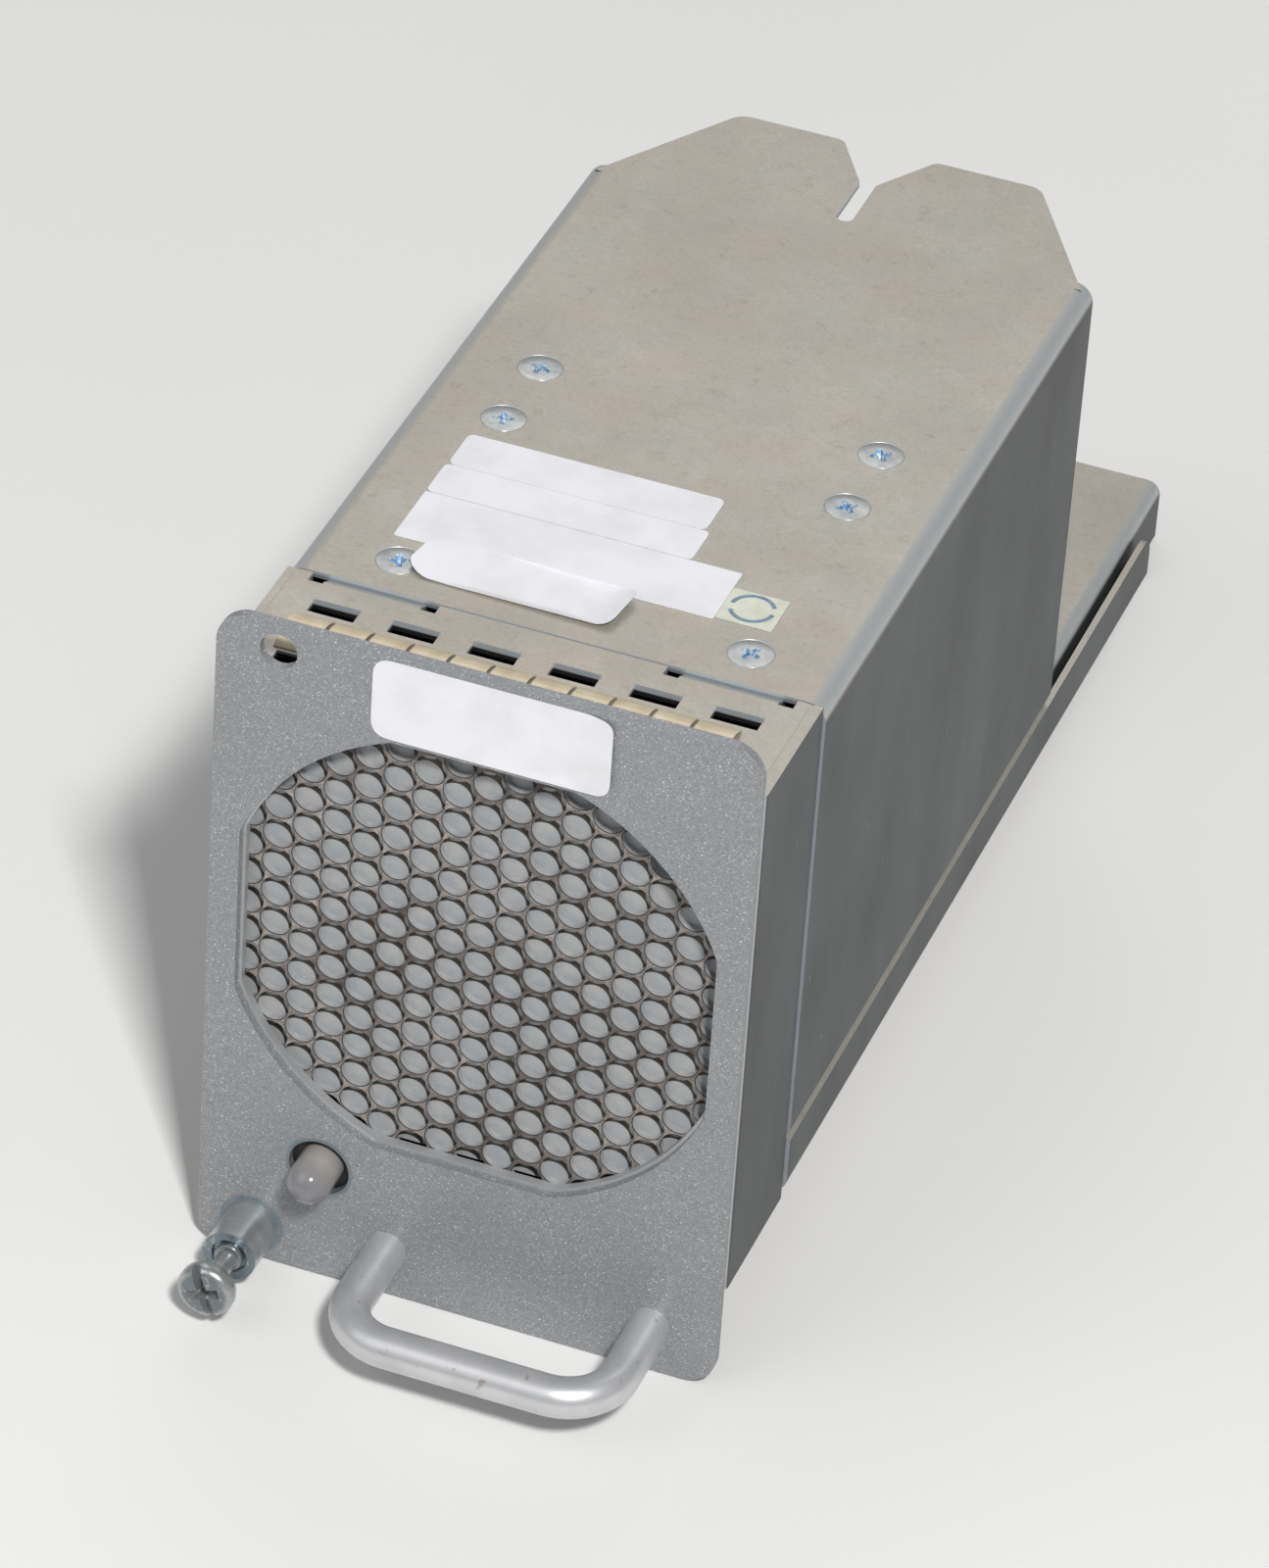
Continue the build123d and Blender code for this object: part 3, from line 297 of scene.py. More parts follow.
def sheet_steel():
    """Galvanised sheet: fine grained zinc, a bluish painted highlight on the bends, painted shade that
    makes the upright faces much darker and greyer, a pale front sheet, a painted highlight on the
    cover's front edge, and on the punched edges of the top a bright lip over a lower part that is
    near-black towards the front and grey towards the rear."""
    f = Finish("sheet_steel", srgb(184, 178, 167), 0.44, 0.5)
    blush = f.share(f.noise(7.0, 7.0, roughness=0.78), 0.43, 0.60)
    tone = f.share(f.noise(9.0, 4.0, roughness=0.6), 0.36, 0.66)
    cloud = f.share(f.noise(20.0, 5.0, roughness=0.6), 0.40, 0.72)
    grain = f.share(f.noise(0.55, 3.0, roughness=0.7), 0.36, 0.68)
    speck = f.share(f.noise(1.6, 4.0, roughness=0.75), 0.56, 0.74)
    zinc = f.mix(f.grains(1.1)["Red"], srgb(181, 178, 166), srgb(190, 186, 175))
    zinc = f.tint(zinc, srgb(191, 177, 163), blush, 0.65)
    zinc = f.tint(zinc, srgb(178, 176, 170), tone, 0.45)
    zinc = f.tint(zinc, srgb(172, 162, 148), cloud, 0.3)
    zinc = f.tint(zinc, srgb(160, 153, 143), grain, 0.38)
    zinc = f.tint(zinc, srgb(138, 132, 121), speck, 0.4)
    level = f.maths("ABSOLUTE", f.normal("Z"))
    # Where the top turns down into the sides, the bends get a bluish painted highlight
    bend_highlight = f.maths("MULTIPLY", f.share(level, 0.12, 0.35), f.share(level, 0.995, 0.93))
    zinc = f.tint(zinc, srgb(190, 196, 199), bend_highlight, 0.75)

    # The upright faces: much darker and greyer than the top, which is painted shade; the smears and pale
    # scratches on them are the sheet's own
    smear = f.share(f.noise(16.0, 5.0, (1, 0.8, 0.35), 0.6), 0.36, 0.68)
    scratch = f.share(f.noise(0.7, 2.0, (1, 0.6, 0.25)), 0.72, 0.8, 0.0, 0.5)
    side = f.mix(smear, srgb(70, 72, 73), srgb(97, 100, 102))
    side = f.tint(side, srgb(80, 82, 83), grain, 0.3)
    side = f.mix(scratch, side, srgb(150, 156, 160))
    # Upright faces take the darker colour: painted shade
    whole = f.mix(f.share(level, 0.3, 0.05), zinc, side)
    whole = f.mix(f.placed("Y", *front_sheet_y, 1.0, 0.0), whole, srgb(186, 187, 188))
    # Where the cover's front edge faces the front it gets a bluish painted highlight
    ahead = f.share(f.front(), 0.8, 0.95)
    cover_edge_highlight = f.maths("MULTIPLY", f.placed("Y", *cover_edge_front_y),
                         f.placed("Y", *cover_edge_rear_y))
    whole = f.tint(whole, srgb(176, 180, 188), ahead, cover_edge_highlight)

    # The upright edges of the top's punched openings: a bright lip at the top over a lower part that is
    # near-black towards the front and grey towards the rear
    upright_top = f.maths("MULTIPLY", f.share(level, 0.3, 0.1), f.placed("Z", *punched_z))
    punched = f.maths("MULTIPLY", f.placed("X", *punched_x), upright_top)
    under_lip_tone = f.mix(f.placed("Y", *under_lip_dark_y), srgb(46, 45, 44), srgb(150, 155, 158))
    bright_lip = f.mix(f.placed("Z", *bright_lip_z), under_lip_tone, srgb(196, 203, 208))
    f.colour(f.mix(punched, whole, bright_lip))
    sideways = f.maths("ABSOLUTE", f.normal("X"))
    f.rough(f.mix_number(sideways, f.share(cloud, 0.0, 1.0, 0.38, 0.50), 0.5))
    return f.bump(f.noise(0.5, 3.0), 0.02, 0.3)


def contact_alloy():
    """Thin pale tan spring alloy with a brushed grain along the fingers."""
    f = Finish("contact_alloy", srgb(220, 206, 178), 0.42, 0.3)
    cloud = f.share(f.noise(2.5, 3.0, (1, 0.4, 1)), 0.35, 0.65)
    f.colour(f.mix(cloud, srgb(208, 191, 160), srgb(228, 215, 188)))
    return f.bump(f.noise(0.3, 2.0, (1, 0.15, 1)), 0.01, 0.3)


def grille_steel():
    """Dusty perforated steel: brown with mauve-grey dust in front, dark rims, pale cell walls."""
    f = Finish("grille_steel", srgb(120, 112, 108), 0.75)
    bare = f.mix(f.share(f.noise(0.9, 3.0), 0.35, 0.65), srgb(70, 61, 55), srgb(104, 95, 90))
    powder = f.share(f.noise(0.7, 4.0, roughness=0.7), 0.38, 0.66)
    dust = f.mix(powder, srgb(112, 105, 100), srgb(166, 158, 152))
    patch = f.share(f.noise(17.0, 3.0), 0.40, 0.56)
    dust = f.mix(patch, bare, dust)
    dust = f.mix(f.share(f.noise(0.35, 2.0), 0.69, 0.77), dust, srgb(200, 196, 192))
    wall = f.mix(f.share(f.noise(1.4, 3.0), 0.35, 0.65), srgb(146, 148, 150), srgb(162, 163, 164))
    front = f.front()
    rim = f.mix(f.share(front, 0.25, 0.4), wall, srgb(52, 44, 40))
    f.colour(f.mix(f.share(front, 0.85, 0.95), rim, dust))
    return f.bump(f.noise(0.25, 3.0), 0.03, 0.4)


def filter_foam():
    """Fine-pored foam, painted dark: round the pale discs it shows only in the crescents at the cells'
    upper right, where it stands for the shadow cast by the grille's webs.
    """
    f = Finish("filter_foam", srgb(72, 67, 61), 0.95)
    pore = f.share(f.cells(0.3, "Distance"), 0.15, 0.6)
    cloud = f.share(f.noise(1.2, 3.0, roughness=0.6), 0.35, 0.68)
    f.colour(f.mix(cloud, srgb(60, 55, 49), srgb(84, 78, 72)))
    return f.bump(pore, 0.08, 0.5)


def lit_pad_paint():
    """The pad's own pale grey, with its dark and light specks, laid only in discs where the key light
    falls through the grille's cells: painted light.
    """
    f = Finish("lit_pad_paint", srgb(170, 172, 174), 0.9, 0.0, Sheen_Weight=0.1)
    cloud = f.share(f.noise(2.2, 3.0, roughness=0.6), 0.35, 0.68)
    soft = f.mix(cloud, srgb(153, 157, 161), srgb(168, 168, 166))
    dark = f.share(f.noise(0.4, 3.0), 0.66, 0.78)
    soft = f.tint(soft, srgb(118, 116, 116), dark, 0.4)
    light = f.share(f.noise(0.5, 2.0, (1.3, 1, 0.9)), 0.74, 0.80)
    f.colour(f.mix(light, soft, srgb(208, 208, 206)))
    return f.bump(f.noise(0.3, 3.0), 0.05, 0.35)


# The light's dome from its tip to its base, in millimetres
lens_y = (-5.0, -1.5)


def milky_lens():
    """Grey translucent dome, paler towards its base."""
    f = Finish("led_lens", srgb(150, 148, 152), 0.16, 0.0, Subsurface_Weight=0.2, Subsurface_Scale=0.002,
               Subsurface_Radius=(1, 1, 1), Coat_Weight=0.4, Coat_Roughness=0.06)
    along = f.placed("Y", *lens_y)
    cloud = f.share(f.noise(3.0, 2.0), 0.3, 0.7, 0.0, 0.3)
    tone = f.mix(along, srgb(116, 115, 121), srgb(160, 154, 146))
    return f.colour(f.mix(cloud, tone, srgb(142, 140, 141)))


def handle_steel():
    """Satin plated bar with a very fine blasted grain."""
    f = Finish("handle_steel", srgb(204, 205, 207), 0.40, 0.6)
    cloud = f.share(f.noise(5.0, 3.0), 0.35, 0.65)
    satin = f.mix(cloud, srgb(198, 199, 201), srgb(213, 213, 214))
    f.colour(f.mix(f.share(f.noise(1.2, 3.0), 0.66, 0.76, 0.0, 0.5), satin, srgb(140, 112, 84)))
    f.rough(f.share(cloud, 0.0, 1.0, 0.40, 0.33))
    return f.bump(f.noise(0.2, 2.0), 0.012, 0.35)


def paper():
    """White label stock, a little yellowed and handled."""
    f = Finish("label_paper", srgb(226, 226, 229), 0.5)
    cloud = f.share(f.noise(7.0, 4.0, roughness=0.6), 0.42, 0.72)
    f.colour(f.tint(srgb(228, 228, 232), srgb(206, 204, 202), cloud, 0.5))
    return f.bump(f.noise(3.0, 3.0), 0.04, 0.2)


def sticker_paper():
    """Pale green sticker stock."""
    f = Finish("sticker_paper", srgb(208, 210, 194), 0.55)
    cloud = f.share(f.noise(2.0, 3.0), 0.4, 0.65)
    f.colour(f.mix(cloud, srgb(210, 212, 197), srgb(198, 200, 182)))
    return f.bump(f.noise(0.8, 2.0), 0.02, 0.2)


def sticker_ink():
    """Blue-grey ink, thin in places."""
    f = Finish("sticker_ink", srgb(104, 128, 146), 0.5)
    cloud = f.share(f.noise(1.0, 3.0), 0.35, 0.65)
    return f.colour(f.mix(cloud, srgb(96, 120, 140), srgb(122, 146, 160)))


def recess_residue():
    """The blue thread lock left in the recesses of the cover screws, over bare zinc."""
    f = Finish("recess_residue", srgb(140, 170, 196), 0.4, 0.2)
    patch = f.share(f.noise(0.35, 3.0), 0.42, 0.58)
    f.colour(f.mix(patch, srgb(92, 140, 182), srgb(196, 208, 214)))
    return f.bump(f.noise(0.3, 2.0), 0.05, 0.5)


def board_laminate():
    """Green board with faint raised traces along it."""
    f = Finish("board_laminate", srgb(38, 84, 56), 0.35, 0.0, Coat_Weight=0.3)
    trace = f.share(f.noise(1.6, 1.0, (1, 0.2, 1)), 0.49, 0.53)
    f.colour(f.mix(trace, srgb(30, 74, 48), srgb(46, 98, 64)))
    return f.bump(trace, 0.03, 0.3)


def coil_copper():
    """Wound copper wire."""
    f = Finish("coil_copper", srgb(168, 92, 48), 0.35, 0.8)
    turn = f.node("ShaderNodeTexWave", bands_direction="Y")
    turn.inputs["Scale"].default_value = 1000 / 0.9
    turn.inputs["Distortion"].default_value = 1.5
    f.link(f.place, turn.inputs["Vector"])
    f.colour(f.mix(turn.outputs["Fac"], srgb(120, 60, 30), srgb(188, 108, 58)))
    return f.bump(turn.outputs["Fac"], 0.1, 0.5)


finishes = {
    "panel_paint": panel_paint(),
    "sheet_steel": sheet_steel(),
    "contact_alloy": contact_alloy(),
    "grille_steel": grille_steel(),
    "filter_foam": filter_foam(),
    "screw_zinc": turned_zinc("screw_zinc", srgb(190, 192, 190), srgb(122, 130, 134)),
    "handle_steel": handle_steel(),
    "sleeve_steel": turned_zinc("sleeve_steel", srgb(196, 199, 198), srgb(128, 140, 149), (0.3, 1, 0.3)),
    "spring_steel": plain_metal("spring_steel", srgb(170, 170, 168), 0.25),
    "led_lens": milky_lens(),
    "black_plastic": plain_plastic("black_plastic", srgb(30, 30, 32), 0.45),
    "board_laminate": board_laminate(),
    "rotor_plastic": plain_plastic("rotor_plastic", srgb(36, 37, 40), 0.38),
    "motor_steel": plain_metal("motor_steel", srgb(140, 140, 142), 0.4),
    "coil_copper": coil_copper(),
    "magnet_ferrite": plain_metal("magnet_ferrite", srgb(52, 52, 55), 0.5, 0.4),
    "bearing_steel": plain_metal("bearing_steel", srgb(196, 197, 200), 0.2),
    "rubber": plain_plastic("rubber", srgb(26, 26, 27), 0.75, 0.5, 0.04),
    "wire_sleeve": plain_plastic("wire_sleeve", srgb(34, 34, 36), 0.5),
    "guard_wire": plain_metal("guard_wire", srgb(184, 186, 188), 0.26),
    "plug_plastic": plain_plastic("plug_plastic", srgb(214, 208, 192), 0.42),
}
label_paper = paper()
green_paper = sticker_paper()
# Pale discs on the pad that paint the light falling through the grille's cells
painted_light_discs = lit_pad_paint()
ring_ink = sticker_ink()
blue_residue = recess_residue()

for row in frame["record"]["subparts"]:
    mesh = frame["nodes"][row["node"]].data
    mesh.materials.clear()
    mesh.materials.append(finishes[row["material_slot"]].material)


# Mesh helpers. Points nearer to each other than this, in millimetres, are one
weld = 1e-4


def add_piece(name, bm, body, materials, smooth_angle=30):
    """A new piece from a bmesh in millimetres of the part, riding on a body."""
    bmesh.ops.recalc_face_normals(bm, faces=bm.faces)
    for v in bm.verts:
        v.co = place(*v.co)
    mesh = bpy.data.meshes.new(name)
    bm.to_mesh(mesh)
    bm.free()
    for finish in materials:
        mesh.materials.append(finish.material)
    mesh.shade_smooth()
    mesh.set_sharp_from_angle(angle=math.radians(smooth_angle))
    piece = bpy.data.objects.new(name, mesh)
    bpy.context.scene.collection.objects.link(piece)
    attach(piece, body)
    return piece


def circle_points(radius, count, x=0.0, y=0.0):
    return [(x + radius * math.cos(2 * math.pi * i / count),
             y + radius * math.sin(2 * math.pi * i / count)) for i in range(count)]


def rectangle(x0, y0, x1, y1):
    return [(x0, y0), (x1, y0), (x1, y1), (x0, y1)]


def turned(x, y, angle):
    """A point turned about zero."""
    return (x * math.cos(angle) - y * math.sin(angle), x * math.sin(angle) + y * math.cos(angle))


def clipped(points, reach_x, reach_y):
    """Points pulled back to a rectangle about zero where they pass it."""
    return [(max(-reach_x, min(reach_x, x)), max(-reach_y, min(reach_y, y))) for x, y in points]


def loop_edges(first, count):
    return [(first + i, first + (i + 1) % count) for i in range(count)]


def plate_with_holes(outline, holes):
    """Triangles that fill an outline and its holes, with edges along each hole: (points, triangles)."""
    points = [Vector(p) for p in outline]
    edges = loop_edges(0, len(outline))
    for hole in holes:
        edges += loop_edges(len(points), len(hole))
        points += [Vector(p) for p in hole]
    verts, _, faces, _, _, _ = delaunay_2d_cdt(points, edges, [], 1, 1e-6)
    return verts, faces


def face_centre(points, face):
    return (sum(points[i].x for i in face) / len(face), sum(points[i].y for i in face) / len(face))


def inside(point, loop):
    """Whether a point lies inside a closed loop."""
    x, y = point
    odd = False
    for (x0, y0), (x1, y1) in zip(loop, loop[1:] + loop[:1]):
        if (y0 > y) != (y1 > y) and x < (x1 - x0) * (y - y0) / (y1 - y0) + x0:
            odd = not odd
    return odd


def skirt(bm, loops, material=0, closed=True):
    """Quads between successive loops of points; returns the loops' vertices."""
    made = [[bm.verts.new(p) for p in loop] for loop in loops]
    for a, b in zip(made, made[1:]):
        for i in range(len(a) if closed else len(a) - 1):
            j = (i + 1) % len(a)
            face = bm.faces.new((a[i], a[j], b[j], b[i]))
            face.material_index = material
    return made


def solid_through(bm, loops, material=0):
    """A closed solid through successive loops of points."""
    made = skirt(bm, loops, material)
    for end in (made[0], made[-1]):
        bm.faces.new(end).material_index = material


def close_seams(bm):
    bmesh.ops.remove_doubles(bm, verts=bm.verts, dist=weld)


# The vent: a grille with round cells, the foam pad behind it, and on the pad pale discs that paint where
# light falls through the cells
cell_pitch = 4.0
cell_radius = 1.86
cell_rim = 0.09
cell_sides = 28
cell_reach = 32.0
grille_w = 60.0
grille_h = 58.6
grille_border = 0.7
grille_front_y = 2.3
grille_t = 1.0
opening_z = 48.4
pad_gap = 0.05
pad_edge_t = 3.9
pad_crown = 0.9
pad_pull = 0.5
pad_rounding = 1.0
pad_front_rounding = 0.6
pad_steps = 30
# The pale discs on the pad sit shifted down and to the left, as the key light falls through the cells:
# painted light
light_disc_shift = (-0.66, -1.42)
light_disc_sunk = 0.05
light_disc_t = 0.015

reach_x = grille_w / 2 - grille_border
reach_z = grille_h / 2 - grille_border


def cell_centres():
    """The cells behind the air opening, as in the solid grille."""
    column = cell_pitch * math.cos(math.radians(30))
    count = int(reach_x / column)
    centres = []
    for i in range(-count, count + 1):
        shift = cell_pitch / 2 if i % 2 else 0
        rows = int((reach_z + shift) / cell_pitch)
        for j in range(-rows, rows + 1):
            x = i * column
            z = j * cell_pitch + shift
            if abs(z) <= reach_z and math.hypot(x, z) <= cell_reach:
                centres.append((x, z))
    return centres


def cell_outline(radius, x, z):
    """A round cell, cut off where it would pass the grille's border."""
    return clipped(circle_points(radius, cell_sides, x, z), reach_x, reach_z)


def vent_cells():
    """The grille: a plate with round cells, each a little wider at its front edge."""
    bm = bmesh.new()
    centres = cell_centres()
    outline = rectangle(-grille_w / 2, -grille_h / 2, grille_w / 2, grille_h / 2)
    front = (grille_front_y, cell_radius + cell_rim)
    throat = (grille_front_y + cell_rim, cell_radius)
    rear = (grille_front_y + grille_t, cell_radius)
    for y, radius in (front, rear):
        holes = [cell_outline(radius, x, z) for x, z in centres]
        points, faces = plate_with_holes(outline, holes)
        verts = [bm.verts.new((p.x, y, p.y + opening_z)) for p in points]
        for face in faces:
            cx, cz = face_centre(points, face)
            near = min(range(len(centres)),
                       key=lambda i: (cx - centres[i][0]) ** 2 + (cz - centres[i][1]) ** 2)
            if not inside((cx, cz), holes[near]):
                bm.faces.new([verts[i] for i in face])
    for x, z in centres:
        skirt(bm, [[(px, y, pz + opening_z) for px, pz in cell_outline(radius, x, z)]
                   for y, radius in (front, throat, rear)])
    skirt(bm, [[(x, y, z + opening_z) for x, z in outline] for y, _ in (front, rear)])
    close_seams(bm)
    bmesh.ops.dissolve_degenerate(bm, edges=bm.edges, dist=weld)
    piece = add_piece("vent_cells", bm, "tray", [finishes["grille_steel"]])
    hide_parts("vent_grille")


def foam_pad():
    """The filter pad: flat where it lies on the grille, soft edges, sides that pull in, a crowned rear
    and, behind each cell, a pale disc shifted as the key light falls, which paints the lit patch; round
    each disc the dark foam stands for the shade."""
    bm = bmesh.new()
    front_y = grille_front_y + grille_t + hair
    half_w = grille_w / 2 - pad_gap
    half_h = grille_h / 2 - pad_gap

    def across(i):
        """Steps from -1 to 1 that close up at both ends."""
        return math.sin(math.pi / 2 * (2 * i / pad_steps - 1))

    def point(i, j, rear):
        u = across(i)
        v = across(j)
        x = u * (half_w - pad_pull * (1 - v * v) * abs(u) ** 6)
        z = v * (half_h - pad_pull * (1 - u * u) * abs(v) ** 6)
        inset = min((1 - abs(u)) * half_w, (1 - abs(v)) * half_h)
        sunk = max(0.0, 1 - inset / pad_rounding) ** 2 * pad_rounding
        if rear:
            y = front_y + pad_edge_t - sunk + pad_crown * (1 - u ** 4) * (1 - v ** 4)
        else:
            y = front_y + sunk * pad_front_rounding
        return (x, y, z + opening_z)

    stations = range(pad_steps + 1)
    for rear in (False, True):
        grid = [[bm.verts.new(point(i, j, rear)) for j in stations] for i in stations]
        for i in range(pad_steps):
            for j in range(pad_steps):
                bm.faces.new((grid[i][j], grid[i + 1][j], grid[i + 1][j + 1], grid[i][j + 1]))
    # A pale disc behind each cell, where the key light falls on the pad: painted light
    for x, z in cell_centres():
        disc = circle_points(cell_radius, cell_sides, x + light_disc_shift[0], z + light_disc_shift[1])
        disc = clipped(disc, half_w - pad_rounding, half_h - pad_rounding)
        solid_through(bm, [[(px, front_y - h, pz + opening_z) for px, pz in disc]
                           for h in (-light_disc_sunk, light_disc_t)], 1)
    rim = [(i, 0) for i in range(pad_steps)] + [(pad_steps, j) for j in range(pad_steps)]
    rim += [(i, pad_steps) for i in range(pad_steps, 0, -1)] + [(0, j) for j in range(pad_steps, 0, -1)]
    skirt(bm, [[point(i, j, rear) for i, j in rim] for rear in (False, True)])
    close_seams(bm)
    foam = [finishes["filter_foam"], painted_light_discs]
    piece = add_piece("foam_pad", bm, "tray", foam, smooth_angle=60)
    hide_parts("filter_pad")


# Screws with cross recesses. A profile lists (radius, height) from the edge of the head's top down,
# and a recess is its arms' length, their half width and its depth
screw_sides = 48
recess_corner = 0.6
recess_corner_near = 0.4
recess_taper = 0.45
cover_screw_x = 20.75
cover_screw_rows = (26.4, 57.9, 69.4)
cover_screw_turns = (20, 65, 12, 40, 78, 33)
cover_screw_profile = ((2.5, 0.0), (2.6, -0.03), (2.65, -0.1), (1.5, -1.15), (1.5, -6.0))
cover_screw_recess = (1.25, 0.30, 1.0)


def cross_outline(arm, half):
    """The outline of a cross recess with slightly opened corners between its arms."""
    inner = half * recess_corner
    near = half + inner * recess_corner_near
    far = half + inner
    quarter = ((arm, -half), (arm, half), (far, near), (near, far))
    return [turned(x, y, math.radians(90 * turn)) for turn in range(4) for x, y in quarter]


def screw(bm, axes, profile, recess):
    """A turned screw whose top is at height zero. axes turns (across, across, height) into a place."""
    arm, half, depth = recess
    cross = cross_outline(arm, half)
    points, faces = plate_with_holes(circle_points(profile[0][0], screw_sides), [cross])
    verts = [bm.verts.new(axes(p.x, p.y, 0.0)) for p in points]
    for face in faces:
        if not inside(face_centre(points, face), cross):
            bm.faces.new([verts[i] for i in face])
    skirt(bm, [[axes(x, y, h) for x, y in circle_points(r, screw_sides)] for r, h in profile])
    bottom_r, bottom_h = profile[-1]
    bm.faces.new([bm.verts.new(axes(x, y, bottom_h)) for x, y in circle_points(bottom_r, screw_sides)])
    lip = [axes(x, y, 0.0) for x, y in cross]
    tip = [axes(x * recess_taper, y * recess_taper, -depth) for x, y in cross]
    walls = skirt(bm, [lip, tip], 1)
    bm.faces.new(walls[-1]).material_index = 1


def cover_screws():
    """The six countersunk screws of the cover, each turned its own way."""
    bm = bmesh.new()
    spots = [(side * cover_screw_x, y) for y in cover_screw_rows for side in (-1, 1)]
    for (x, y), degrees in zip(spots, cover_screw_turns):
        def axes(u, v, h, x=x, y=y, angle=math.radians(degrees)):
            across, along = turned(u, v, angle)
            return (x + across, y + along, duct_top + h)
        screw(bm, axes, cover_screw_profile, cover_screw_recess)
    close_seams(bm)
    coats = [finishes["screw_zinc"], blue_residue]
    piece = add_piece("cover_screw_set", bm, "tray", coats)
    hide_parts("cover_screws")


# The captive screw: its profile as (radius, height), and the tools that cut its slot and cross as
# sections of half length, half width and height. Heights are over the head's front
captive_head_y = -14.1
captive_sides = 64
captive_turn = -71
captive_profile = (
    (1.5, -0.02), (2.4, -0.1), (2.9, -0.25), (3.2, -0.5), (3.38, -0.9), (3.4, -1.3), (3.38, -1.8),
    (3.25, -2.15), (3.0, -2.3), (1.65, -2.3), (1.55, -2.5), (1.5, -3.2), (1.2, -3.5), (1.2, -6.9),
    (1.65, -7.05), (1.7, -7.2), (1.7, -7.5), (1.2, -7.7), (1.2, -8.85), (1.5, -8.9), (1.5, -14.7),
    (1.15, -15.1),
)
captive_slot = ((4.0, 0.62, 0.3), (4.0, 0.5, -1.15))
captive_cross = ((2.0, 0.62, 0.3), (1.9, 0.56, -0.3), (0.9, 0.3, -1.9))


def bar(sections, upright=False):
    """A closed straight-sided tool."""
    bm = bmesh.new()
    loops = []
    for length, width, h in sections:
        loop = rectangle(-length, -width, length, width)
        loops.append([(-y, x, h) if upright else (x, y, h) for x, y in loop])
    solid_through(bm, loops)
    return bm


def carved(body, tools):
    """A closed mesh less others."""
    made = []
    for bm in (body, *tools):
        bmesh.ops.recalc_face_normals(bm, faces=bm.faces)
        mesh = bpy.data.meshes.new("carving")
        bm.to_mesh(mesh)
        bm.free()
        made.append(bpy.data.objects.new("carving", mesh))
        bpy.context.scene.collection.objects.link(made[-1])
    for tool in made[1:]:
        cutter = made[0].modifiers.new("cut", "BOOLEAN")
        cutter.operation = "DIFFERENCE"
        cutter.solver = "EXACT"
        cutter.object = tool
    result = bmesh.new()
    result.from_object(made[0], bpy.context.evaluated_depsgraph_get())
    for item in made:
        bpy.data.objects.remove(item)
    return result


def captive_screw():
    """The captive screw: a round head with a slot and a cross, a waisted shank and a plain M3 end."""
    body = bmesh.new()
    solid_through(body, [[(x, y, h) for x, y in circle_points(r, captive_sides)]
                         for r, h in captive_profile])
    bm = carved(body, [bar(captive_slot), bar(captive_cross), bar(captive_cross, upright=True)])
    for v in bm.verts:
        x, y, h = v.co
        across, up = turned(x, y, math.radians(captive_turn))
        v.co = (captive_place[0] + across, captive_head_y - h, captive_place[1] + up)
    piece = add_piece("captive_screw_body", bm, "captive_screw", [finishes["screw_zinc"]])
    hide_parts("captive_screw")


# The captive screw's return spring
spring_mean_r = 2.05
spring_wire_r = 0.2
spring_wire_sides = 10
spring_turns = 4
spring_steps = 32
spring_front_y = -5.0
spring_seat_y = 0.5


def return_spring():
    """The spring inside the sleeve, which the screw's press squashes against its seat."""
    bm = bmesh.new()
    steps = spring_steps * spring_turns
    ring = circle_points(spring_wire_r, spring_wire_sides)
    loops = []
    for i in range(steps + 1):
        a = 2 * math.pi * spring_turns * i / steps
        y = spring_front_y + (spring_seat_y - spring_wire_r - spring_front_y) * i / steps
        loops.append([(captive_place[0] + (spring_mean_r + u) * math.cos(a), y + v,
                       captive_place[1] + (spring_mean_r + u) * math.sin(a)) for u, v in ring])
    solid_through(bm, loops)
    piece = add_piece("return_spring", bm, "tray", [finishes["spring_steel"]])
    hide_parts("captive_spring")
    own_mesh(piece)


# The closed seams beside the bracket's top: where they lie, their section and their stations along Y
seam_x = 30.2
seam_half = 0.19
seam_bottom = -0.9
seam_edge = -0.02
seam_middle = -0.03
seam_stations = (3.1, 8.0, 14.0, 20.15)


def bracket_seams():
    """The joint between the bracket's top and its side flanges, drawn shut by their folds."""
    bm = bmesh.new()
    for side in (-1, 1):
        middle = side * seam_x
        x0 = middle - seam_half
        x1 = middle + seam_half
        section = [(x0, seam_bottom), (x0, seam_edge), (middle, seam_middle),
                   (x1, seam_edge), (x1, seam_bottom)]
        solid_through(bm, [[(x, y, duct_top + h) for x, h in section] for y in seam_stations])
    add_piece("bracket_seams", bm, "tray", [finishes["sheet_steel"]])


# Labels and stickers: outlines in X and Y on the cover, and in X and Z on the panel
paper_t = 0.1
paper_step = 0.8
corner_steps = 6
corner_run_parts = 2.1
curl_left_x = -15.0
curl_right_x = 1.0
curl_length = 5.0
curl_left = 0.9
curl_right = 1.1
curl_limit = 1.6
lift_x = 10.0
lift_length = 4.6
lift_height = 0.4
ring_place = (18.0, 34.3)
ring_outer = 2.7
ring_inner = 2.2
ring_t = 0.03
ring_starts = (25, 205)
ring_sweep = 150
ring_steps = 24


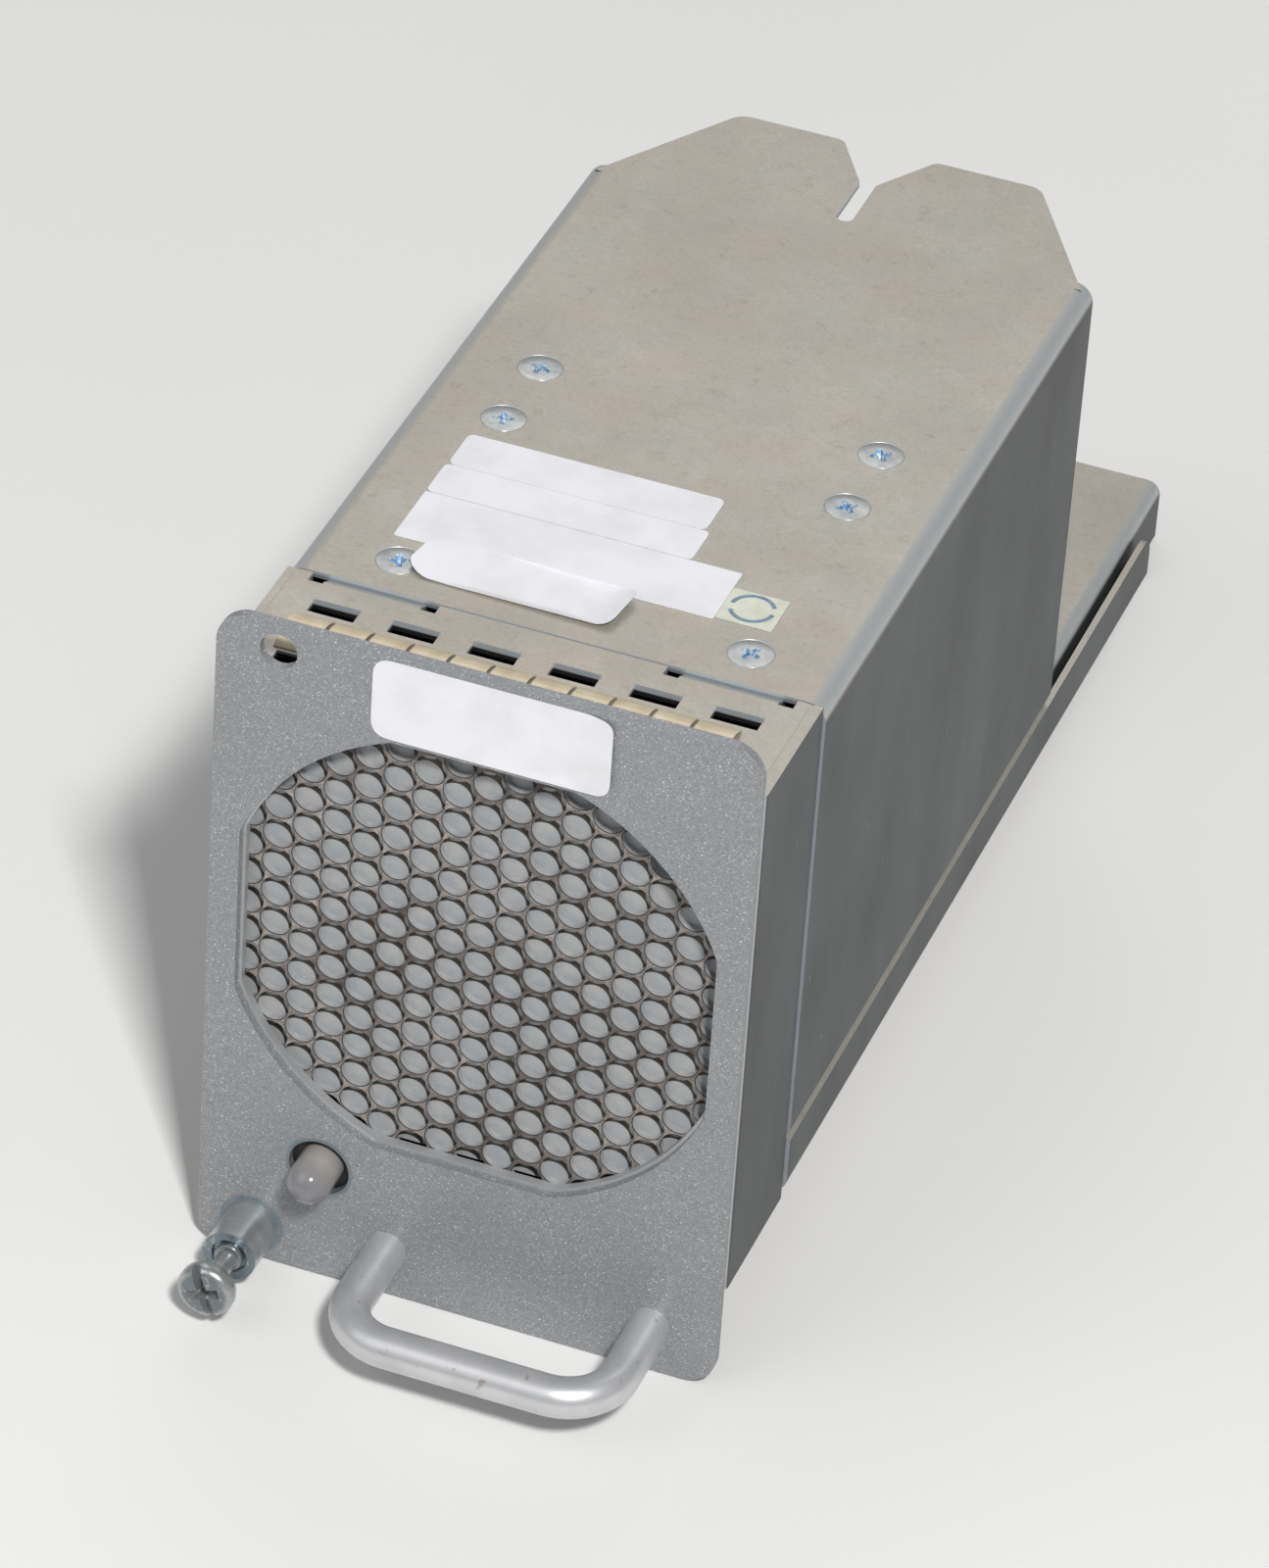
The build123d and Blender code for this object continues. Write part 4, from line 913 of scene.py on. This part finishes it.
def thin_sheet(name, outline, surface, finish):
    """A sheet of paper cut to an outline and laid on surface(u, v, height)."""
    us, vs = zip(*outline)
    points = [Vector(p) for p in outline]
    for i in range(int((max(us) - min(us)) / paper_step)):
        for j in range(int((max(vs) - min(vs)) / paper_step)):
            p = (min(us) + (i + 0.5) * paper_step, min(vs) + (j + 0.5) * paper_step)
            if inside(p, outline):
                points.append(Vector(p))
    verts, _, faces, _, _, _ = delaunay_2d_cdt(points, loop_edges(0, len(outline)), [], 1, 1e-4)
    bm = bmesh.new()
    low = [bm.verts.new(surface(p.x, p.y, 0)) for p in verts]
    high = [bm.verts.new(surface(p.x, p.y, paper_t)) for p in verts]
    for face in faces:
        bm.faces.new([high[i] for i in face])
        bm.faces.new([low[i] for i in reversed(face)])
    skirt(bm, [[surface(u, v, t) for u, v in outline] for t in (0, paper_t)])
    close_seams(bm)
    add_piece(name, bm, "tray", [finish], smooth_angle=40)


def rounded_corners(corners, radius):
    """An outline of straight runs with its corners rounded."""
    result = []
    for i, corner in enumerate(corners):
        here = Vector(corner)
        before = Vector(corners[i - 1]) - here
        after = Vector(corners[(i + 1) % len(corners)]) - here
        r = min(radius, before.length / corner_run_parts, after.length / corner_run_parts)
        start = here + before.normalized() * r
        end = here + after.normalized() * r
        for k in range(corner_steps + 1):
            t = k / corner_steps
            result.append(tuple(start * (1 - t) ** 2 + here * 2 * t * (1 - t) + end * t ** 2))
    return result


def on_top(u, v, t):
    """A place on the cover."""
    return (u, v, duct_top + hair + t)


def curled(u, v, t):
    """A place over the third label, for a sheet that curls up to the left and right."""
    left = max(0.0, (curl_left_x - u) / curl_length)
    right = max(0.0, (u - curl_right_x) / curl_length)
    rise = min(curl_limit, curl_left * left ** 2 + curl_right * right ** 2)
    return (u, v, duct_top + hair + paper_t + hair + rise + t)


def on_panel(u, v, t):
    """A place on the panel's front, for a sheet that lifts off a little to the right."""
    lift = max(0.0, (u - lift_x) / lift_length) ** 2 * lift_height
    return (u, -hair - lift - t, v)


flat_labels = (
    ("top_label_1", rectangle(-23.0, 46.5, 8.0, 53.1), 1.0),
    ("top_label_2", rectangle(-23.2, 40.4, 8.6, 46.4), 0.8),
    ("top_label_3", rectangle(-23.2, 30.7, 14.7, 40.25), 0.3),
)
curled_label = [(-19.5, 25.9), (-17.6, 24.2), (5.1, 23.7), (6.1, 31.0), (-15.4, 32.4), (-18.8, 31.2)]
date_square = rectangle(14.75, 31.1, 21.4, 37.3)
panel_label = [(-13.2, 76.85), (14.6, 76.85), (14.6, 86.6), (12.2, 87.1), (-13.2, 87.1)]


def date_ring():
    """A printed ring with two gaps."""
    bm = bmesh.new()
    x, y = ring_place
    top = duct_top + hair + paper_t
    for start in ring_starts:
        turns = [math.radians(start + ring_sweep * i / ring_steps) for i in range(ring_steps + 1)]
        loops = [[(x + r * math.cos(a), y + r * math.sin(a), top + h) for a in turns]
                 for r, h in ((ring_outer, 0.0), (ring_outer, ring_t), (ring_inner, ring_t),
                              (ring_inner, 0.0), (ring_outer, 0.0))]
        made = skirt(bm, loops, closed=False)
        for end in (0, -1):
            bm.faces.new([row[end] for row in made[:4]])
    close_seams(bm)
    add_piece("date_ring", bm, "tray", [ring_ink])


def labels():
    for name, outline, radius in flat_labels:
        thin_sheet(name, rounded_corners(outline, radius), on_top, label_paper)
    thin_sheet("top_label_4", rounded_corners(curled_label, 1.6), curled, label_paper)
    thin_sheet("date_sticker", rounded_corners(date_square, 0.2), on_top, green_paper)
    date_ring()
    thin_sheet("front_label", rounded_corners(panel_label, 2.2), on_panel, label_paper)


vent_cells()
foam_pad()
bracket_seams()
cover_screws()
captive_screw()
return_spring()
labels()


# Floor, light and camera. Distances and sizes here are in metres
floor_half = 6.0
floor_gap = 0.0001
light_centre = Vector((0.0, 0.0, 0.045))
world_strength = 0.26

# Each lamp's name, azimuth, elevation, distance, size and strength
lamps = (
    ("key", 30, 47, 1.6, 0.16, 0.88),
    ("fill", -40, 38, 1.8, 1.3, 0.16),
    ("back", 198, 50, 1.7, 1.2, 0.18),
)


def sheet_floor():
    """The pale table. It tilts to touch the panel's lower edge and the tray's rear edge."""
    front = place(0, 0, 0)
    rear = place(0, *tray_rear)
    slope = math.atan2(rear.z - front.z, rear.y - front.y)
    mesh = bpy.data.meshes.new("floor")
    corners = rectangle(-floor_half, -floor_half, floor_half, floor_half)
    points = [(x, y * math.cos(slope), y * math.sin(slope)) for x, y in corners]
    mesh.from_pydata(points, [], [(0, 1, 2, 3)])
    floor = bpy.data.objects.new("floor", mesh)
    floor.location = (0, front.y, front.z - floor_gap)
    bpy.context.scene.collection.objects.link(floor)
    f = Finish("floor_paper", srgb(226, 225, 223), 0.8)
    cloud = f.share(f.noise(220.0, 2.0), 0.3, 0.7)
    f.colour(f.mix(cloud, srgb(223, 222, 220), srgb(229, 228, 226)))
    mesh.materials.append(f.material)


def toward(azimuth, elevation):
    a = math.radians(azimuth)
    e = math.radians(elevation)
    return Vector((math.sin(a) * math.cos(e), -math.cos(a) * math.cos(e), math.sin(e)))


def soft_light(name, azimuth, elevation, distance, size, strength):
    """A square lamp whose light on a surface that faces it is strength times a plain level."""
    lamp = bpy.data.lights.new(name, "AREA")
    lamp.size = size
    lamp.energy = strength * math.pi ** 2 * distance ** 2
    made = bpy.data.objects.new(name, lamp)
    made.location = light_centre + toward(azimuth, elevation) * distance
    made.rotation_euler = toward(azimuth, elevation).to_track_quat("Z", "Y").to_euler()
    bpy.context.scene.collection.objects.link(made)


def lights():
    for lamp in lamps:
        soft_light(*lamp)
    world = bpy.data.worlds.new("studio")
    world.use_nodes = True
    background = world.node_tree.nodes["Background"]
    background.inputs["Color"].default_value = srgb(226, 228, 232)
    background.inputs["Strength"].default_value = world_strength
    bpy.context.scene.world = world


def photo_camera():
    camera = bpy.data.cameras.new("camera")
    camera.sensor_width = sensor_mm
    camera.lens = focal_pixels / picture_height * sensor_mm
    camera.clip_start = 0.05
    camera.clip_end = 50.0
    back = toward(camera_azimuth, camera_elevation)
    a = math.radians(camera_azimuth)
    level = Vector((math.cos(a), math.sin(a), 0))
    raised = back.cross(level)
    roll = math.radians(camera_roll)
    right = level * math.cos(roll) + raised * math.sin(roll)
    up = raised * math.cos(roll) - level * math.sin(roll)
    made = bpy.data.objects.new("camera", camera)
    turn = Matrix((right, up, back)).transposed().to_4x4()
    made.matrix_world = Matrix.Translation(camera_place) @ turn
    bpy.context.scene.collection.objects.link(made)
    bpy.context.scene.camera = made


sheet_floor()
lights()
photo_camera()
bpy.context.scene.view_settings.view_transform = "Standard"
